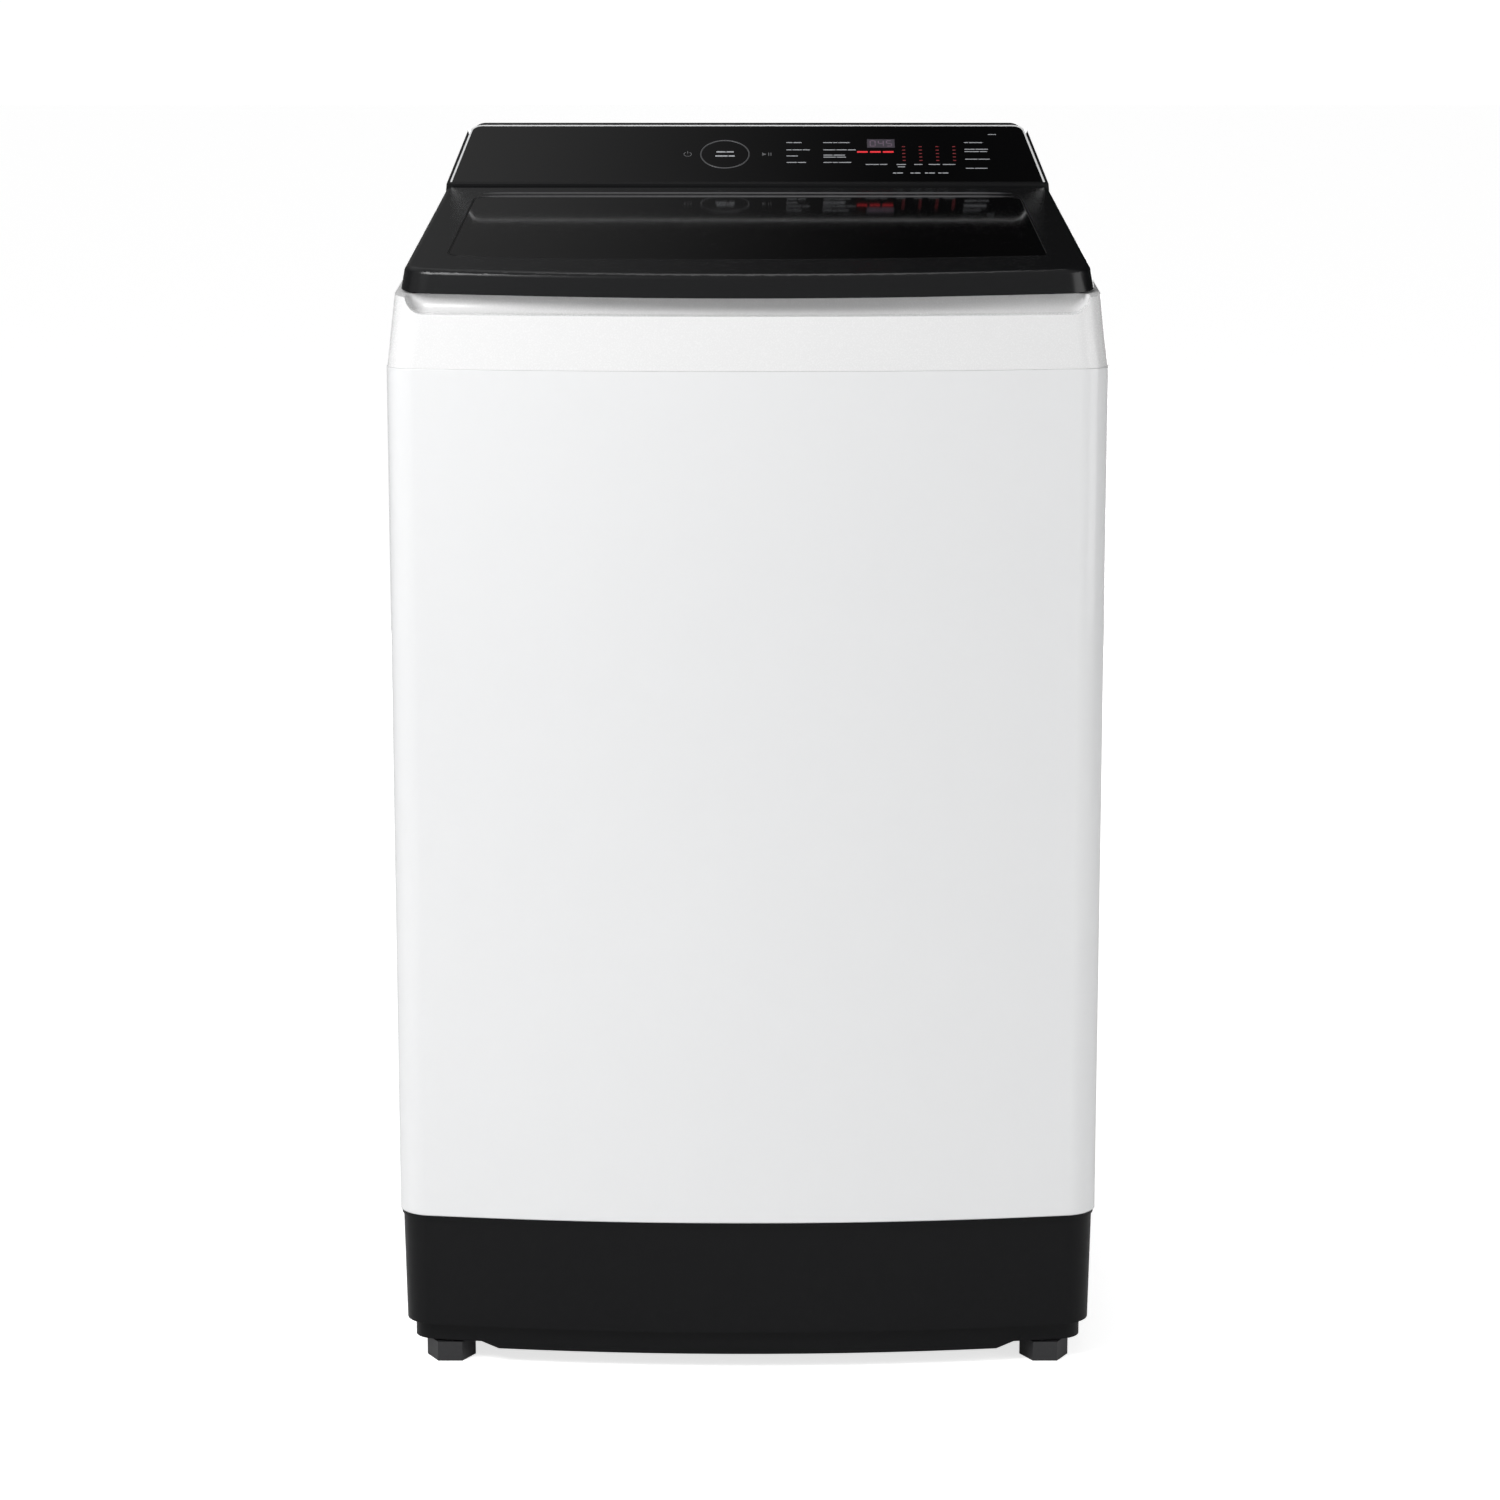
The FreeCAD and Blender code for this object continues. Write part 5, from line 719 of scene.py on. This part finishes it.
def plate_points():
    """The dish rises to its rim by the radius to the power 2.2. Each vane is a raised cosine of the
    angle, narrowed by its fourth power, which turns with the radius and fades at both ends. Fine
    ribs lie between them. The underside is the same dish, lowered by the wall, and the two meet
    round the rim and at the cap's hole."""
    reach = np.linspace(0, 1, 40)
    angle = np.linspace(0, 2 * math.pi, 192, endpoint=False)
    reach, angle = np.meshgrid(reach, angle, indexing="ij")
    radius = CAP_RADIUS - PLATE_HOLE + (PLATE_RADIUS - PLATE_GAP - CAP_RADIUS + PLATE_HOLE) * reach
    dish = plate_low.z + DISH_LOW + DISH_RISE * reach ** 2.2
    vane = (0.5 + 0.5 * np.cos(VANES * (angle + VANE_LEAN * reach))) ** 4
    fade = np.clip(reach / 0.18, 0, 1) ** 0.5 * np.clip((0.97 - reach) / 0.3, 0, 1) ** 0.7
    rib = PLATE_RIB * (0.5 + 0.5 * np.cos(VANES * 6 * angle)) ** 6 * fade
    top = dish + (plate_high.z - plate_low.z - VANE_HEADROOM) * vane * fade + rib
    hub = np.clip((HUB_REACH - reach) / HUB_REACH, 0, 1)
    top = top + hub * (plate_high.z - HUB_DROP - top)
    under = dish - PLATE_WALL
    shape = np.concatenate([np.stack([radius, top], axis=-1), np.stack([radius, under], axis=-1)[::-1]])
    turn = np.concatenate([angle, angle[::-1]])
    return np.stack([plate_middle.x + shape[..., 0] * np.cos(turn),
                     plate_middle.y + shape[..., 0] * np.sin(turn), shape[..., 1]], axis=-1)


wash_plate = sheet_mesh("wash_plate", plate_points(), close_u=True, close_v=True, flip=True)
plate_grey = finish("pulsator_plastic", (0.34, 0.35, 0.37), (0.31, 0.32, 0.34), (0.24, 0.34),
                    grain=(800, 0.05))
wash_plate.data.materials.append(plate_grey)
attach(wash_plate, "wash_drive")
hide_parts("pulsator")
dress(trim_silver, 0.0012, "pulsator_cap")

# --- Drive: shafts, clutch and motor ------------------------------------------------------------
# The wash shaft turns inside the spin shaft in the cast clutch housing. The flat motor under the
# tub has a ring of copper coils on its steel teeth and a rotor lined with magnets.
dress(pin_steel, 0.0005, "spin_shaft", "wash_shaft", "clutch_sleeve", "shaft_bearings")
lamination = finish("core_steel", (0.24, 0.24, 0.25), (0.18, 0.18, 0.19), (0.35, 0.5), stretch=(1, 1, 30),
                    grain=(300, 0.3), Metallic=0.9)
dress(lamination, 0.0003, "motor_stator")
dress(zinc, 0.0012, "motor_rotor")
magnet_dark = finish("ferrite_magnets", (0.05, 0.05, 0.055), (0.035, 0.035, 0.04), (0.4, 0.6),
                     grain=(700, 0.3), Metallic=0.3)
dress(magnet_dark, 0.0003, "rotor_magnets")
copper = finish("lacquered_copper", (0.55, 0.20, 0.07), (0.42, 0.14, 0.05), (0.22, 0.36), grain=(900, 0.3),
                stretch=(1, 1, 3), Metallic=0.95)
dress(copper, 0.0008, "clutch_coil")
stator_low, stator_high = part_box("motor_stator")
TEETH = 36
WINDING_IN, WINDING_OUT = 0.084, 0.118
WINDING_GAP, WINDING_OVER, WINDING_SWELL = 0.0022, 0.0016, 0.0014


def windings():
    """One closed loop round each tooth: a rounded rectangle in the angle and the height, thickened
    by an oval section whose long side lies along the radius."""
    mid_radius, deep = (WINDING_IN + WINDING_OUT) / 2, (WINDING_OUT - WINDING_IN) / 2
    half_wide = math.pi * mid_radius / TEETH - WINDING_GAP
    half_tall = (stator_high.z - stator_low.z) / 2 + WINDING_OVER
    middle_z = (stator_high.z + stator_low.z) / 2
    loop = np.linspace(0, 2 * math.pi, 16, endpoint=False)
    section = np.linspace(0, 2 * math.pi, 8, endpoint=False)
    loop, section = np.meshgrid(loop, section, indexing="ij")
    square = 1 / np.maximum(np.abs(np.cos(loop)), np.abs(np.sin(loop))) ** 0.7
    grow = WINDING_SWELL * np.cos(section)
    across = (half_wide + grow) * np.cos(loop) * square
    height = middle_z + (half_tall + grow) * np.sin(loop) * square
    radius = mid_radius + deep * np.sin(section)
    items = []
    for tooth in range(TEETH):
        turn = 2 * math.pi * (tooth + 0.5) / TEETH
        x = radius * math.cos(turn) - across * math.sin(turn)
        y = radius * math.sin(turn) + across * math.cos(turn)
        items.append(sheet_mesh(f"winding_{tooth}", np.stack([x, y + basket_middle.y, height], axis=-1),
                                close_u=True, close_v=True, flip=True))
    return join("stator_windings", items)


copper_coils = windings()
copper_coils.data.materials.append(copper)
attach(copper_coils, "tub")

# --- Drain --------------------------------------------------------------------------------------
# A folded rubber bellows leads from the tub's sump to the pump on the base, whose impeller throws
# the water out through the rubber tube to the outlet.
dress(matt_black, 0.0004, "pump_impeller")
bellows_low, bellows_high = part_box("drain_bellows")
bellows_middle = (bellows_low + bellows_high) / 2
FOLDS, FOLD_DEEP, BELLOWS_WALL, CUFF_SHARE = 6, 0.0028, 0.0016, 0.1
bellows_radius = (bellows_high.x - bellows_low.x) / 2


def bellows_points():
    """A tube whose outer radius falls by a raised cosine at each fold, with plain cuffs at both
    ends, then returns inside a wall's thickness away."""
    share = np.linspace(0, 1, 97)
    along = np.clip((share - CUFF_SHARE) / (1 - 2 * CUFF_SHARE), 0, 1)
    fold = 0.5 - 0.5 * np.cos(along * FOLDS * 2 * math.pi)
    outer = bellows_radius - FOLD_DEEP * fold
    height = bellows_low.z + (bellows_high.z - bellows_low.z) * share
    profile = np.concatenate([np.stack([outer, height], axis=-1),
                              np.stack([outer - BELLOWS_WALL, height], axis=-1)[::-1]])
    angle = np.linspace(0, 2 * math.pi, 48, endpoint=False)[None]
    return np.stack([bellows_middle.x + profile[:, :1] * np.cos(angle),
                     bellows_middle.y + profile[:, :1] * np.sin(angle),
                     np.repeat(profile[:, 1:], 48, axis=1)], axis=-1)


bellows = sheet_mesh("folded_bellows", bellows_points(), close_u=True, close_v=True)
bellows.data.materials.append(rubber)
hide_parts("drain_bellows")
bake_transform(bellows)
